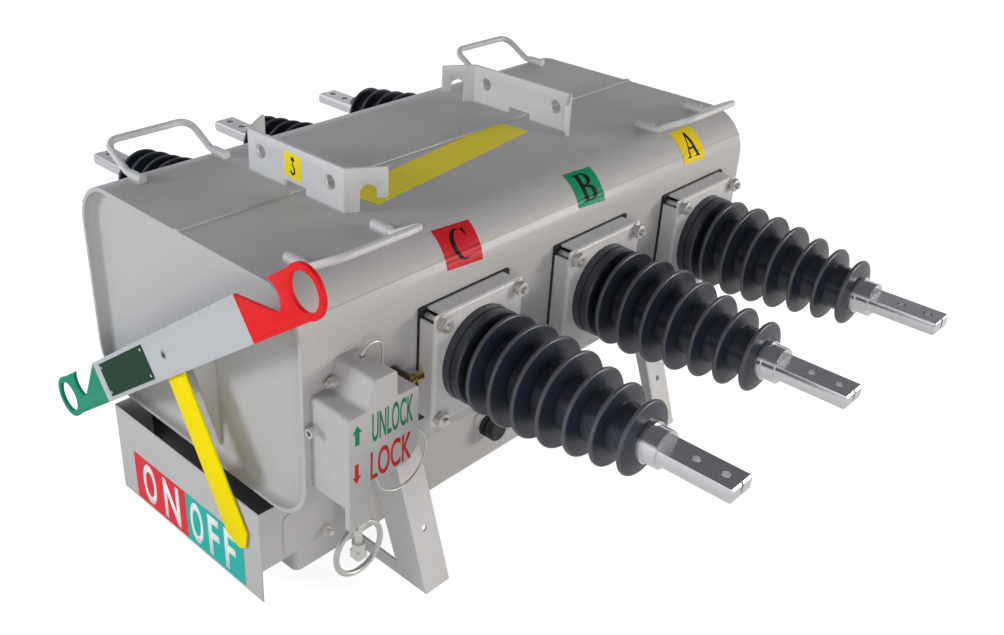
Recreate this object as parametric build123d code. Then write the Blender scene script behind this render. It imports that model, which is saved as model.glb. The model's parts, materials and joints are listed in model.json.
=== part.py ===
from build123d import *
import os
from math import cos, radians, sin

# Gas-insulated load break switch, three phases, worked by a hand lever.
# Millimetres. X runs along the tank with the lever end at -X, Y across it, Z up.
# The origin is on the ground, under the middle of the overall length.

# Tank
tank_width = 560.0
tank_height = 385.0
ground_clearance = 210.5
tank_corner_radius = 80.0
tank_wall = 4.0
end_plate_recess = 20.0
end_plate_thickness = 5.0
end_plate_lip = 3.0
end_plate_bend_radius = 13.0
rim_round = 1.5
seam_width = 12.0
seam_height = 2.5
seam_fillet = 2.0
shoulder_seam_angle = 28.0
shoulder_seam_width = 4.0
shoulder_seam_height = 2.0
weld_gap = 0.2
fit_clearance = 0.05
seat_clearance = 0.3
cut_margin = 1.0

# Phases and the room along the tank
phase_pitch = 310.0
phase_names = ("c", "b", "a")
rear_end_room = 165.0
cover_setback = 11.5
cover_width = 130.0
valve_room = 76.0

# Bushings, measured outwards from the tank wall
gasket_thickness = 4.0
gasket_edge = 1.5
gasket_corner = 4.0
gasket_inner_radius = 62.0
bushing_flange_radius = 91.0
bushing_flange_length = 27.4
bushing_base_radius = 79.0
bushing_base_length = 33.5
bushing_groove_depth = 1.5
bushing_groove_width = 4.0
bushing_edge_round = 3.0
barrel_outer_radius = 58.0
barrel_tip_radius = 38.0
barrel_reach_in = 130.0
barrel_taper_in = 30.0
first_shed_gap = 21.9
shed_pitch = 42.0
shed_radii = (82.5, 83.6, 81.2, 76.4, 69.4, 64.0, 57.5)
shed_rim = 7.0
shed_root = 8.5
shank_root_radius = 54.0
shank_tip_radius = 37.0
bushing_tip_length = 8.2

# Square cover plate over each bushing flange
cover_plate_size = 195.0
cover_plate_thickness = 4.0
cover_plate_bend_radius = 6.0
cover_corner_notch = 15.0
cover_hole_clearance = 0.6
stud_inset = 14.7
stud_diameter = 12.0
stud_length = 54.0
stud_nut_width = 22.0
stud_nut_height = 10.0
stud_washer_diameter = 26.0
stud_washer_thickness = 2.5

# Conductors and terminals
conductor_radius = 14.0
conductor_reach_in = 152.0
terminal_collar_radius = 32.0
terminal_collar_length = 8.0
terminal_neck_radius = 29.0
terminal_neck_length = 30.0
terminal_bar_radius = 26.0
terminal_thickness = 22.0
terminal_length = 145.0
terminal_chamfer = 2.0
terminal_slot_width = 5.0
terminal_slot_depth = 4.0
pad_hole_diameter = 14.0
pad_hole_spacing = 44.45
pad_hole_edge = 24.5

# Main shaft and its bearings
shaft_radius = 14.0
shaft_end_radius = 8.0
shaft_centre_radius = 4.5
shaft_centre_depth = 2.5
running_clearance = 0.05
bearing_outer_radius = 22.0
bearing_flange_radius = 32.0
bearing_flange_thickness = 8.0
bearing_inner_length = 12.0
rear_bearing_length = 26.0
seal_thickness = 6.0
seal_radius = 28.0

# Support bracket that carries the shaft in front of the end plate
support_projection = 39.0
support_thickness = 4.0
support_near_width = 47.0
support_far_width = 45.0
support_top = 26.0
support_bottom = 20.0
support_far_top = 5.0
support_gusset_bottom = 170.0
support_far_gusset_bottom = 95.0
support_gusset_toe = 4.0
support_bearing_radius = 19.0
support_flange_radius = 24.0
support_flange_thickness = 4.0
support_bearing_length = 8.0

# Operating lever, drawn level and then turned to its off position
lever_gap = 2.5
lever_thickness = 6.0
lever_width = 72.0
lever_ring_offset = 419.0
lever_ring_radius = 38.0
lever_ring_hole = 56.0
lever_off_angle = 35.5
notch_start_inset = 159.0
notch_floor_in = 78.0
notch_floor_out = 67.0
notch_floor = 9.0
notch_bulge = 55.0
notch_bulge_height = 8.0
notch_tip = 68.0
lever_hub_radius = 28.0
lever_hub_length = 9.0

# Lever nameplate, blank
nameplate_start = 58.0
nameplate_length = 179.0
nameplate_width = 58.0
nameplate_thickness = 1.0
rivet_diameter = 5.0
rivet_head_height = 1.6
rivet_inset = 7.0

# Position pointer
pointer_gap = 1.5
pointer_thickness = 3.0
pointer_width = 58.0
pointer_shoulder = 298.0
pointer_tip = 322.0
pointer_tip_width = 16.0
pointer_off_angle = 30.0

# Contacts inside the tank
contact_overlap = 20.0
blade_thickness = 8.0
blade_height = 26.0
blade_hub_radius = 26.0
blade_off_angle = 60.0
clamp_radius = 33.0
clamp_length = 30.0
jaw_length = 42.0
jaw_socket_depth = 12.0
jaw_width = 40.0
jaw_height = 34.0
jaw_slot_depth = 26.0
jaw_slot_clearance = 0.3

# Snap spring on the shaft
spring_seal_gap = 11.0
spring_turns = 7
spring_pitch = 10.0
spring_radius = 30.0
spring_wire = 6.0
spring_plate_radius = 42.0
spring_plate_thickness = 6.0

# Drying agent pack on the tank floor
dryer_length = 150.0
dryer_width = 70.0
dryer_height = 26.0
dryer_setback = 320.0
dryer_edge_round = 8.0

# Closed box under the tank
lower_box_setback = 39.0
lower_box_length = 550.0
lower_box_inset = 82.0
lower_box_depth = 157.0
lower_box_wall = 3.0
lower_box_corner = 12.0

# Receptacle on the side of the lower box
receptacle_phase_offset = 144.3
receptacle_drop = 80.0
receptacle_radius = 21.6
receptacle_length = 30.0
receptacle_body_step = 3.0
receptacle_collar_length = 9.0
receptacle_cap_length = 15.0
receptacle_edge_round = 4.0
receptacle_plate_width = 64.0
receptacle_plate_height = 64.0
receptacle_plate_thickness = 4.0
receptacle_plate_corner = 6.0

# Stands
front_stand_setback = 195.0
rear_stand_setback = 194.0
stand_thickness = 4.0
stand_foot_spread = 57.0
stand_shoulder_inset = 24.5
stand_seat_height = 27.5
stand_base_strip = 25.0
stand_window_foot = 72.0
stand_window_knee = 68.0
stand_window_knee_drop = 81.5
stand_window_box_rise = 34.0
stand_flange_width = 54.0
stand_hole_diameter = 11.0
stand_hole_z = 102.0
stand_box_clearance = 1.0

# Hanger brackets on top of the tank
front_hanger_setback = 219.0
hanger_spacing = 540.0
hanger_thickness = 6.0
hanger_half_width = 117.0
hanger_height = 72.0
hanger_hole_diameter = 24.0
hanger_hole_spacing = 169.0
hanger_hole_height = 40.9
hanger_wing_length = 67.0
hanger_wing_angle = 33.0
hanger_notch_half_width = 27.0
hanger_notch_height = 12.5
hanger_arch_start = 24.0
hanger_arch_width = 26.0
hanger_arch_height = 45.0
hanger_tail_height = 22.5

# Lifting handles
handle_setback = 140.0
handle_rod_radius = 6.0
handle_leg_spacing = 160.0
handle_foot_in = 100.0
handle_knee_in = 54.0
handle_bar_out = 6.0
handle_rise = 33.5
handle_bend_radius = 22.0
handle_foot_radius = 7.5
handle_foot_length = 34.0

# Sign tray in front of the lower box
tray_projection = 28.0
tray_thickness = 2.0
tray_bend_radius = 3.0
tray_top_drop = 2.5
tray_side_drop = 113.0
tray_bottom_drop = 175.0
tray_side_gap = 0.5
tray_side_reach = 70.0
tray_tab_start = 43.0
tray_tab_end = 144.0
tray_tab_top_drop = 28.0
tray_tab_low_drop = 110.0
tray_tab_corner = 16.0
tray_tab_thickness = 3.0
tray_arm_margin = 4.0
tray_bolt_reach = 95.0
tray_bolt_drop = 95.5
tray_bolt_diameter = 10.0
tray_nut_width = 16.0
tray_nut_height = 8.0
tray_bolt_end = 18.0

# Interlock cover on the side of the tank, heights above the shaft axis
cover_depth = 81.0
cover_wall = 3.0
cover_shelf = 39.0
cover_hat_start = 33.0
cover_hat_lean = 14.0
cover_hat_end = 88.0
cover_hat_top = 82.0
cover_body_low = 83.0
cover_body_corner = 20.0
cover_leg_width = 40.0
cover_leg_low = 149.0
cover_leg_depth = 10.0
cover_side_low = 113.0
cover_round = 7.0
cover_bolt_height = 53.0
cover_bolt_inset = 12.0
cover_bolt_radius = 8.0
cover_bolt_head = 5.0
cover_bolt_end_radius = 5.0
cover_bolt_end_length = 7.0
cover_pin_height = -7.0
cover_pin_inset = 16.0
cover_pin_radius = 7.0
cover_pin_bore = 4.5
cover_pin_length = 16.0
cover_pin_bore_depth = 13.0

# Lock slider inside the interlock cover
lock_rod_setback = 33.5
lock_rod_depth = 20.0
lock_rod_radius = 6.0
lock_rod_low = 230.0
lock_rod_high = 10.0
lock_rod_clearance = 2.0
lock_eye_drop = 166.0
lock_eye_radius = 9.5
lock_eye_hole = 6.0
lock_eye_thickness = 14.0
lock_wire_setback = 95.5
lock_wire_out = 22.0
lock_wire_radius = 2.0
lock_loop_rise = 95.0
lock_loop_width = 38.0
lock_slot_margin = 4.0
lock_slot_low = 25.0
lock_travel = 22.0
lock_bridge_drop = 43.0
lock_bridge_thickness = 6.0
lock_bridge_margin = 6.0
loop_bend_share = 0.9
lock_nut_width = 18.0
lock_nut_height = 14.0
lock_nut_offset = 4.0
lock_sleeve_radius = 10.0
lock_sleeve_length = 14.0

# Pull ring and side ring
pull_ring_radius = 42.5
pull_ring_rod = 4.4
ring_hang_clearance = 0.7
side_ring_setback = 153.5
side_ring_out = 24.0
side_ring_drop = 81.0
side_ring_radius = 52.0
side_ring_rod = 2.0

# Gas valve on the wall beside the cover
valve_setback = 158.5
valve_out = 22.0
valve_radius = 9.0
valve_stem_radius = 6.0
valve_stem_length = 18.0
valve_nut_length = 9.0
valve_body_length = 11.0
valve_cap_length = 14.0
valve_bracket_thickness = 3.0
valve_bracket_margin = 14.0
valve_bracket_rise = 22.0
valve_bracket_fall = 16.0
ring_leg_thickness = 4.0
ring_leg_height = 18.0
ring_leg_margin = 8.0

# Lengths and places worked out from the sizes above
tank_length = (
    cover_setback + cover_width + valve_room + cover_plate_size / 2
    + phase_pitch * (len(phase_names) - 1) + rear_end_room
)
lever_projection = (
    support_projection - end_plate_recess + lever_gap + lever_hub_length
    + pointer_thickness + pointer_gap + lever_thickness
)
overhang = lever_projection + nameplate_thickness + rivet_head_height
front_x = overhang / 2 - tank_length / 2
rear_x = front_x + tank_length
phase_x = [rear_x - rear_end_room - phase_pitch * step for step in (2, 1, 0)]
wall_y = tank_width / 2
bottom_z = ground_clearance
axis_z = bottom_z + tank_height / 2
top_z = bottom_z + tank_height

front_plate_x = front_x + end_plate_recess
rear_plate_x = rear_x - end_plate_recess
front_plate_back = front_plate_x + end_plate_thickness
rear_plate_back = rear_plate_x - end_plate_thickness
support_face_x = front_plate_x - support_projection
lever_x = front_x - lever_projection
lever_back_x = lever_x + lever_thickness
pointer_x = lever_back_x + pointer_gap
seal_x = front_plate_back + bearing_inner_length
spring_x = seal_x + seal_thickness + spring_seal_gap

gasket_y = wall_y + gasket_thickness
flange_y = gasket_y + bushing_flange_length
cover_plate_y = flange_y + cover_plate_thickness
base_end_y = flange_y + bushing_base_length
first_shed_y = base_end_y + first_shed_gap
bushing_end_y = first_shed_y + shed_pitch * (len(shed_radii) - 1) + bushing_tip_length
terminal_end_y = bushing_end_y + terminal_length
conductor_inner_y = wall_y - conductor_reach_in
jaw_outer_y = conductor_inner_y + jaw_socket_depth
jaw_inner_y = jaw_outer_y - jaw_length
stud_offset = cover_plate_size / 2 - stud_inset

lower_box_front = front_x + lower_box_setback
lower_box_y = wall_y - lower_box_inset
lower_box_z = bottom_z - lower_box_depth
receptacle_x = phase_x[1] - receptacle_phase_offset
receptacle_z = bottom_z - receptacle_drop
stand_foot_y = wall_y + stand_foot_spread
stand_shoulder_y = wall_y - stand_shoulder_inset
stand_top_z = bottom_z + stand_seat_height
front_hanger_x = front_x + front_hanger_setback
tray_x = front_x - tray_projection
tray_y = lower_box_y + tray_side_gap + tray_thickness
tray_bolt_x = front_x + tray_bolt_reach
tray_bolt_z = bottom_z - tray_bolt_drop

cover_x = front_x + cover_setback
cover_y = -wall_y - cover_depth
lock_rod_x = cover_x + lock_rod_setback
lock_rod_y = cover_y + lock_rod_depth
lock_eye_z = axis_z - lock_eye_drop
lock_wire_x = cover_x + lock_wire_setback
lock_wire_y = -wall_y - lock_wire_out
side_ring_x = cover_x + side_ring_setback
side_ring_y = -wall_y - side_ring_out
side_ring_top = axis_z - side_ring_drop
valve_x = cover_x + valve_setback
valve_y = -wall_y - valve_out


def block(x, y, z):
    """A box between two limits on each axis."""
    centre = Pos((x[0] + x[1]) / 2, (y[0] + y[1]) / 2, (z[0] + z[1]) / 2)
    return centre * Box(abs(x[1] - x[0]), abs(y[1] - y[0]), abs(z[1] - z[0]))


def rod_x(x0, x1, y, z, radius):
    return Pos((x0 + x1) / 2, y, z) * Rot(0, 90, 0) * Cylinder(radius, abs(x1 - x0))


def rod_y(x, y0, y1, z, radius):
    return Pos(x, (y0 + y1) / 2, z) * Rot(90, 0, 0) * Cylinder(radius, abs(y1 - y0))


def rod_z(x, y, z0, z1, radius):
    return Pos(x, y, (z0 + z1) / 2) * Cylinder(radius, abs(z1 - z0))


def hexagon_y(x, y0, y1, z, width):
    """A hexagonal prism along Y, measured across its flats."""
    sketch = Plane.XZ * RegularPolygon(width / 2, 6, major_radius=False)
    return Pos(x, max(y0, y1), z) * extrude(sketch, abs(y1 - y0))


def plate_x(points, x0, thickness):
    """A plate across X, from its outline in Y and Z."""
    outline = make_face(Polyline(*points, close=True))
    return Pos(x0, 0, 0) * extrude(Plane.YZ * outline, thickness)


def plate_y(points, y0, thickness):
    """A plate across Y, from its outline in X and Z, growing towards +Y."""
    outline = make_face(Polyline(*points, close=True))
    return Pos(0, y0 + thickness, 0) * extrude(Plane.XZ * outline, thickness)


def tank_section(inset, length, x0):
    """A length of the tank's rounded section, its outline moved in by an inset."""
    sketch = RectangleRounded(
        tank_width - 2 * inset, tank_height - 2 * inset, tank_corner_radius - inset
    )
    return Pos(x0, 0, axis_z) * extrude(Plane.YZ * sketch, length)


def turned(shape, angle):
    """Turn a shape about the main shaft."""
    return Pos(0, 0, axis_z) * Rot(angle, 0, 0) * Pos(0, 0, -axis_z) * shape


def mirrored(shape, side):
    """The shape itself on the +Y side, or its twin on the -Y side."""
    return shape if side > 0 else mirror(shape, Plane.XZ)


def shaft_rod(x0, x1, radius):
    """A round piece on the main shaft's axis."""
    return rod_x(x0, x1, 0, axis_z, radius)


def shaft_ring(x0, x1, radius):
    """A round piece bored to turn on, or with, the main shaft."""
    hole = shaft_rod(x0 - cut_margin, x1 + cut_margin, shaft_radius + running_clearance)
    return shaft_rod(x0, x1, radius) - hole


def stud_places():
    """Places of the four studs around each bushing, in X and Z."""
    return [
        (x + dx, axis_z + dz)
        for x in phase_x
        for dx in (-stud_offset, stud_offset)
        for dz in (-stud_offset, stud_offset)
    ]


def make_tank_shell():
    shell = tank_section(0, tank_length, front_x)
    for end in (0, -1):
        rim = shell.faces().sort_by(Axis.X)[end].edges()
        shell = fillet(rim, rim_round)
    hollow = tank_section(tank_wall, tank_length, front_x)
    seam = block(
        (front_x, rear_x), (-seam_width / 2, seam_width / 2), (top_z - tank_wall, top_z + seam_height)
    )
    seam = fillet(seam.edges().filter_by(Axis.X).group_by(Axis.Z)[-1], seam_fillet)
    shell += seam
    arc_y = wall_y - tank_corner_radius + tank_corner_radius * cos(radians(shoulder_seam_angle))
    arc_z = top_z - tank_corner_radius + tank_corner_radius * sin(radians(shoulder_seam_angle))
    bead = Box(tank_length, shoulder_seam_height, shoulder_seam_width)
    middle_x = (front_x + rear_x) / 2
    for side in (-1, 1):
        shell += Pos(middle_x, side * arc_y, arc_z) * Rot(side * shoulder_seam_angle, 0, 0) * bead
    for x in phase_x:
        shell -= rod_y(x, -wall_y - cut_margin, wall_y + cut_margin, axis_z, gasket_inner_radius)
    return shell - hollow


def make_end_plate(outer_x, inner_x):
    """A pressed end plate with its lip turned out along the rim of the shell."""
    low, high = min(outer_x, inner_x), max(outer_x, inner_x)
    inset = tank_wall + weld_gap
    plate = tank_section(inset, high - low, low)
    hollow_length = high - low - end_plate_thickness
    if outer_x < inner_x:
        hollow = tank_section(inset + end_plate_lip, hollow_length, low)
        rim = hollow.faces().sort_by(Axis.X)[-1].edges()
    else:
        hollow = tank_section(inset + end_plate_lip, hollow_length, low + end_plate_thickness)
        rim = hollow.faces().sort_by(Axis.X)[0].edges()
    return plate - fillet(rim, end_plate_bend_radius)


def make_front_end_plate():
    plate = make_end_plate(front_x, front_plate_back)
    hole = bearing_outer_radius + fit_clearance
    return plate - shaft_rod(front_x, front_plate_back + cut_margin, hole)


def make_rear_end_plate():
    return make_end_plate(rear_x, rear_plate_back)


def make_bushing():
    """The bushing on the +Y side, turned about its own axis."""
    bore = conductor_radius + fit_clearance
    barrel_end = wall_y - barrel_reach_in
    taper_start = wall_y - barrel_taper_in
    groove = flange_y + bushing_base_length / 2
    groove_end = groove + bushing_groove_width
    groove_radius = bushing_base_radius - bushing_groove_depth
    edge = bushing_edge_round
    slope = (shank_tip_radius - shank_root_radius) / (bushing_end_y - base_end_y)
    points = [
        (bore, barrel_end), (barrel_tip_radius, barrel_end),
        (barrel_outer_radius, taper_start), (barrel_outer_radius, gasket_y),
        (bushing_flange_radius, gasket_y), (bushing_flange_radius, flange_y),
        (bushing_base_radius, flange_y), (bushing_base_radius, groove),
        (groove_radius, groove), (groove_radius, groove_end),
        (bushing_base_radius, groove_end), (bushing_base_radius, base_end_y - edge),
        (bushing_base_radius - edge, base_end_y), (shank_root_radius + edge, base_end_y),
        (shank_root_radius, base_end_y + edge),
    ]
    edges = []
    start = points[0]
    for point in points[1:]:
        edges.append(Line(start, point))
        start = point
    half_rim = shed_rim / 2
    for index, radius in enumerate(shed_radii):
        y = first_shed_y + shed_pitch * index
        shank = shank_root_radius + slope * (y - base_end_y)
        back = (shank, y - half_rim - edge)
        back_root = (shank + edge, y - half_rim)
        rim_back = (radius - half_rim, y - half_rim)
        rim_front = (radius - half_rim, y + half_rim)
        root = (shank + slope * shed_root, y + shed_root)
        edges.append(Line(start, back))
        edges.append(Line(back, back_root))
        edges.append(Line(back_root, rim_back))
        edges.append(ThreePointArc(rim_back, (radius, y), rim_front))
        edges.append(Line(rim_front, root))
        start = root
    shank_end = (start[0], bushing_end_y - seat_clearance)
    bore_end = (bore, bushing_end_y - seat_clearance)
    if shank_end[1] > start[1]:
        edges.append(Line(start, shank_end))
    else:
        edges[-1] = Line(rim_front, shank_end)
    edges.append(Line(shank_end, bore_end))
    edges.append(Line(bore_end, points[0]))
    return revolve(make_face(edges), Axis.Y)


def make_terminal():
    """Conductor and flat terminal pad on the +Y side, one piece of bar."""
    collar_end = bushing_end_y + terminal_collar_length
    neck_end = bushing_end_y + terminal_neck_length
    bar = rod_y(0, conductor_inner_y, bushing_end_y, axis_z, conductor_radius)
    bar += rod_y(0, bushing_end_y, collar_end, axis_z, terminal_collar_radius)
    bar += rod_y(0, collar_end, neck_end, axis_z, terminal_neck_radius)
    half = terminal_thickness / 2
    wide = terminal_bar_radius + cut_margin
    pad = rod_y(0, neck_end, terminal_end_y, axis_z, terminal_bar_radius)
    pad &= block((-wide, wide), (neck_end, terminal_end_y), (axis_z - half, axis_z + half))
    pad = chamfer(pad.faces().sort_by(Axis.Y)[-1].edges(), terminal_chamfer)
    pad -= block(
        (-terminal_slot_width / 2, terminal_slot_width / 2),
        (terminal_end_y - terminal_slot_depth, terminal_end_y + cut_margin),
        (axis_z - wide, axis_z + wide),
    )
    outer_hole = terminal_end_y - pad_hole_edge
    for y in (outer_hole, outer_hole - pad_hole_spacing):
        pad -= rod_z(0, y, axis_z - wide, axis_z + wide, pad_hole_diameter / 2)
    return bar + pad


def make_cover_plate():
    """Square folded plate on the +Y side that clamps the bushing flange."""
    half = cover_plate_size / 2
    inner = half - cover_plate_thickness
    bend = cover_plate_bend_radius
    plate = block((-half, half), (gasket_y, cover_plate_y), (axis_z - half, axis_z + half))
    plate = fillet(plate.faces().sort_by(Axis.Y)[-1].edges(), bend)
    hollow = block((-inner, inner), (gasket_y, flange_y), (axis_z - inner, axis_z + inner))
    plate -= fillet(hollow.faces().sort_by(Axis.Y)[-1].edges(), bend - cover_plate_thickness)
    notch = cover_corner_notch
    for dx in (-1, 1):
        for dz in (-1, 1):
            corner_x = sorted((dx * half, dx * (half - notch)))
            corner_z = sorted((axis_z + dz * half, axis_z + dz * (half - notch)))
            plate -= block(corner_x, (gasket_y, flange_y), corner_z)
    front = cover_plate_y + cut_margin
    plate -= rod_y(0, gasket_y, front, axis_z, bushing_base_radius + cover_hole_clearance)
    for dx in (-stud_offset, stud_offset):
        for dz in (-stud_offset, stud_offset):
            plate -= rod_y(dx, gasket_y, front, axis_z + dz, stud_diameter / 2 + cover_hole_clearance)
    return plate


def make_gaskets():
    """Square rubber sheets between the tank wall and each bushing."""
    sheets = []
    half = cover_plate_size / 2 + gasket_edge
    back = wall_y - cut_margin
    front = gasket_y + cut_margin
    for x in phase_x:
        sheet = block((x - half, x + half), (wall_y, gasket_y), (axis_z - half, axis_z + half))
        sheet = fillet(sheet.edges().filter_by(Axis.Y), gasket_corner)
        sheet -= rod_y(x, back, front, axis_z, gasket_inner_radius)
        for dx in (-stud_offset, stud_offset):
            for dz in (-stud_offset, stud_offset):
                hole = stud_diameter / 2 + cover_hole_clearance
                sheet -= rod_y(x + dx, back, front, axis_z + dz, hole)
        sheets.append(sheet)
        sheets.append(mirrored(sheet, -1))
    return Compound(children=sheets)


def make_studs():
    studs = []
    end = wall_y + stud_length
    for side in (-1, 1):
        for x, z in stud_places():
            studs.append(rod_y(x, side * wall_y, side * end, z, stud_diameter / 2))
    return Compound(children=studs)


def make_nuts():
    nuts = []
    washer_end = cover_plate_y + stud_washer_thickness
    nut_end = washer_end + stud_nut_height
    bore_radius = stud_diameter / 2 + fit_clearance
    for side in (-1, 1):
        for x, z in stud_places():
            washer = rod_y(x, side * cover_plate_y, side * washer_end, z, stud_washer_diameter / 2)
            nut = hexagon_y(x, side * washer_end, side * nut_end, z, stud_nut_width)
            bore = rod_y(x, side * wall_y, side * (nut_end + cut_margin), z, bore_radius)
            nuts.append(washer + nut - bore)
    return Compound(children=nuts)


def make_main_shaft():
    """Shaft with a thinner end that the lever is pressed on, and a centre hole."""
    shaft = shaft_rod(lever_back_x, rear_plate_back - seat_clearance, shaft_radius)
    shaft += shaft_rod(lever_x, lever_back_x, shaft_end_radius)
    return shaft - shaft_rod(lever_x - cut_margin, lever_x + shaft_centre_depth, shaft_centre_radius)


def make_shaft_bushes():
    """Bearing bushes in the front end plate, in the support bracket and at the rear."""
    flange_face = front_plate_x - bearing_flange_thickness
    front = shaft_ring(flange_face, front_plate_x, bearing_flange_radius)
    front += shaft_ring(front_plate_x, seal_x, bearing_outer_radius)
    support_back = support_face_x + support_thickness
    bush_end = support_back + support_bearing_length
    support = shaft_ring(support_face_x, bush_end, support_bearing_radius)
    support += shaft_ring(support_back, support_back + support_flange_thickness, support_flange_radius)
    rear = shaft_ring(rear_plate_back - rear_bearing_length, rear_plate_back, bearing_flange_radius)
    return Compound(children=[front, support, rear])


def make_shaft_seal():
    return shaft_ring(seal_x, seal_x + seal_thickness, seal_radius)


def make_shaft_support():
    """Bracket with a long and a short gusset, welded to the front end plate."""
    near = support_near_width
    far = support_far_width
    outline = [
        (-near, axis_z + support_top), (0, axis_z + support_top), (far, axis_z - support_far_top),
        (far, axis_z - support_bottom), (-near, axis_z - support_bottom),
    ]
    plate = plate_x(outline, support_face_x, support_thickness)
    support_back = support_face_x + support_thickness
    plate += shaft_rod(support_face_x, support_back, support_top)
    hole = support_bearing_radius + fit_clearance
    plate -= shaft_rod(support_face_x - cut_margin, support_back + cut_margin, hole)
    toe_x = front_plate_x - support_gusset_toe
    gussets = (
        (-near, axis_z + support_top, axis_z - support_gusset_bottom),
        (far - support_thickness, axis_z - support_far_top, axis_z - support_far_gusset_bottom),
    )
    for y0, high, low in gussets:
        side = [
            (support_face_x, high), (front_plate_x, high), (front_plate_x, low), (toe_x, low),
            (support_face_x, axis_z - support_bottom),
        ]
        plate += plate_y(side, y0, support_thickness)
    return plate


def make_operating_lever():
    """Double-ended lever with a hook notch and a ring at each end."""
    half = lever_width / 2
    over = half + cut_margin
    body = Rectangle(2 * lever_ring_offset, lever_width)
    start = lever_ring_offset - notch_start_inset
    floor_in = lever_ring_offset - notch_floor_in
    floor_out = lever_ring_offset - notch_floor_out
    bulge = lever_ring_offset - notch_bulge
    tip = lever_ring_offset - notch_tip
    for side in (-1, 1):
        ring_centre = Pos(side * lever_ring_offset, 0)
        body += ring_centre * Circle(lever_ring_radius)
        body -= ring_centre * Circle(lever_ring_hole / 2)
        corner = (side * start, half)
        low_in = (side * floor_in, -notch_floor)
        low_out = (side * floor_out, -notch_floor)
        notch = [
            Line(corner, low_in),
            Line(low_in, low_out),
            ThreePointArc(low_out, (side * bulge, notch_bulge_height), (side * tip, over)),
            Line((side * tip, over), (side * start, over)),
            Line((side * start, over), corner),
        ]
        body -= make_face(notch)
    plate = Pos(lever_x, 0, axis_z) * extrude(Plane.YZ * body, lever_thickness)
    hole = shaft_end_radius + running_clearance
    plate -= shaft_rod(lever_x - cut_margin, lever_back_x + cut_margin, hole)
    return turned(plate, -lever_off_angle)


def make_nameplate():
    plate = block(
        (lever_x - nameplate_thickness, lever_x), (nameplate_start, nameplate_start + nameplate_length),
        (axis_z - nameplate_width / 2, axis_z + nameplate_width / 2),
    )
    return turned(plate, -lever_off_angle)


def make_rivets():
    rivets = []
    face = lever_x - nameplate_thickness
    start = nameplate_start + rivet_inset
    end = nameplate_start + nameplate_length - rivet_inset
    across = nameplate_width / 2 - rivet_inset
    for along in (start, end):
        for z in (axis_z - across, axis_z + across):
            head = rod_x(face - rivet_head_height, face, along, z, rivet_diameter / 2)
            top = head.faces().sort_by(Axis.X)[0].edges()
            rivets.append(turned(fillet(top, rivet_head_height * 0.7), -lever_off_angle))
    return Compound(children=rivets)


def make_pointer():
    half = pointer_width / 2
    point = pointer_tip_width / 2
    outline = [
        (-half, 0), (-half, -pointer_shoulder), (-point, -pointer_tip), (point, -pointer_tip),
        (half, -pointer_shoulder), (half, 0),
    ]
    sketch = make_face(Polyline(*outline, close=True)) + Circle(half)
    plate = Pos(pointer_x, 0, axis_z) * extrude(Plane.YZ * sketch, pointer_thickness)
    pointer_back = pointer_x + pointer_thickness
    hole = shaft_radius + running_clearance
    plate -= shaft_rod(pointer_x - cut_margin, pointer_back + cut_margin, hole)
    return turned(plate, -pointer_off_angle)


def make_lever_hub():
    start = pointer_x + pointer_thickness
    return shaft_ring(start, start + lever_hub_length, lever_hub_radius)


def make_moving_contacts():
    blades = []
    reach = jaw_inner_y + contact_overlap
    half = blade_thickness / 2
    hole = shaft_radius + running_clearance
    for x in phase_x:
        blade = block(
            (x - half, x + half), (-reach, reach), (axis_z - blade_height / 2, axis_z + blade_height / 2)
        )
        blade += shaft_rod(x - half, x + half, blade_hub_radius)
        blade -= shaft_rod(x - half - cut_margin, x + half + cut_margin, hole)
        blades.append(turned(blade, -blade_off_angle))
    return Compound(children=blades)


def make_contact_clamps():
    clamps = []
    for x in phase_x:
        near = blade_thickness / 2
        far = near + clamp_length
        clamps.append(shaft_ring(x - far, x - near, clamp_radius))
        clamps.append(shaft_ring(x + near, x + far, clamp_radius))
    return Compound(children=clamps)


def make_fixed_contacts():
    jaws = []
    slot = blade_thickness / 2 + jaw_slot_clearance
    half_width = jaw_width / 2
    half_height = jaw_height / 2
    slot_end = jaw_inner_y + jaw_slot_depth
    for x in phase_x:
        jaw = block(
            (x - half_width, x + half_width), (jaw_inner_y, jaw_outer_y),
            (axis_z - half_height, axis_z + half_height),
        )
        jaw -= block(
            (x - slot, x + slot), (jaw_inner_y, slot_end), (axis_z - jaw_height, axis_z + jaw_height)
        )
        jaw -= rod_y(x, conductor_inner_y, jaw_outer_y, axis_z, conductor_radius + fit_clearance)
        jaws.append(jaw)
        jaws.append(mirrored(jaw, -1))
    return Compound(children=jaws)


def make_snap_spring():
    path = Helix(spring_pitch, spring_pitch * spring_turns, spring_radius)
    section = Plane(origin=path @ 0, z_dir=path % 0) * Circle(spring_wire / 2)
    coil = sweep(section, path=path, is_frenet=True)
    start = spring_x + spring_plate_thickness + spring_wire / 2 + seat_clearance
    return Pos(start, 0, axis_z) * Rot(0, 90, 0) * coil


def make_spring_plates():
    inside = spring_pitch * spring_turns + spring_wire + 2 * seat_clearance
    second = spring_x + spring_plate_thickness + inside
    plates = [
        shaft_ring(x, x + spring_plate_thickness, spring_plate_radius) for x in (spring_x, second)
    ]
    return Compound(children=plates)


def make_dryer_pack():
    floor = bottom_z + tank_wall
    x = rear_x - dryer_setback
    pack = block(
        (x - dryer_length / 2, x + dryer_length / 2), (-dryer_width / 2, dryer_width / 2),
        (floor, floor + dryer_height),
    )
    return fillet(pack.edges(), dryer_edge_round)


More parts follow.
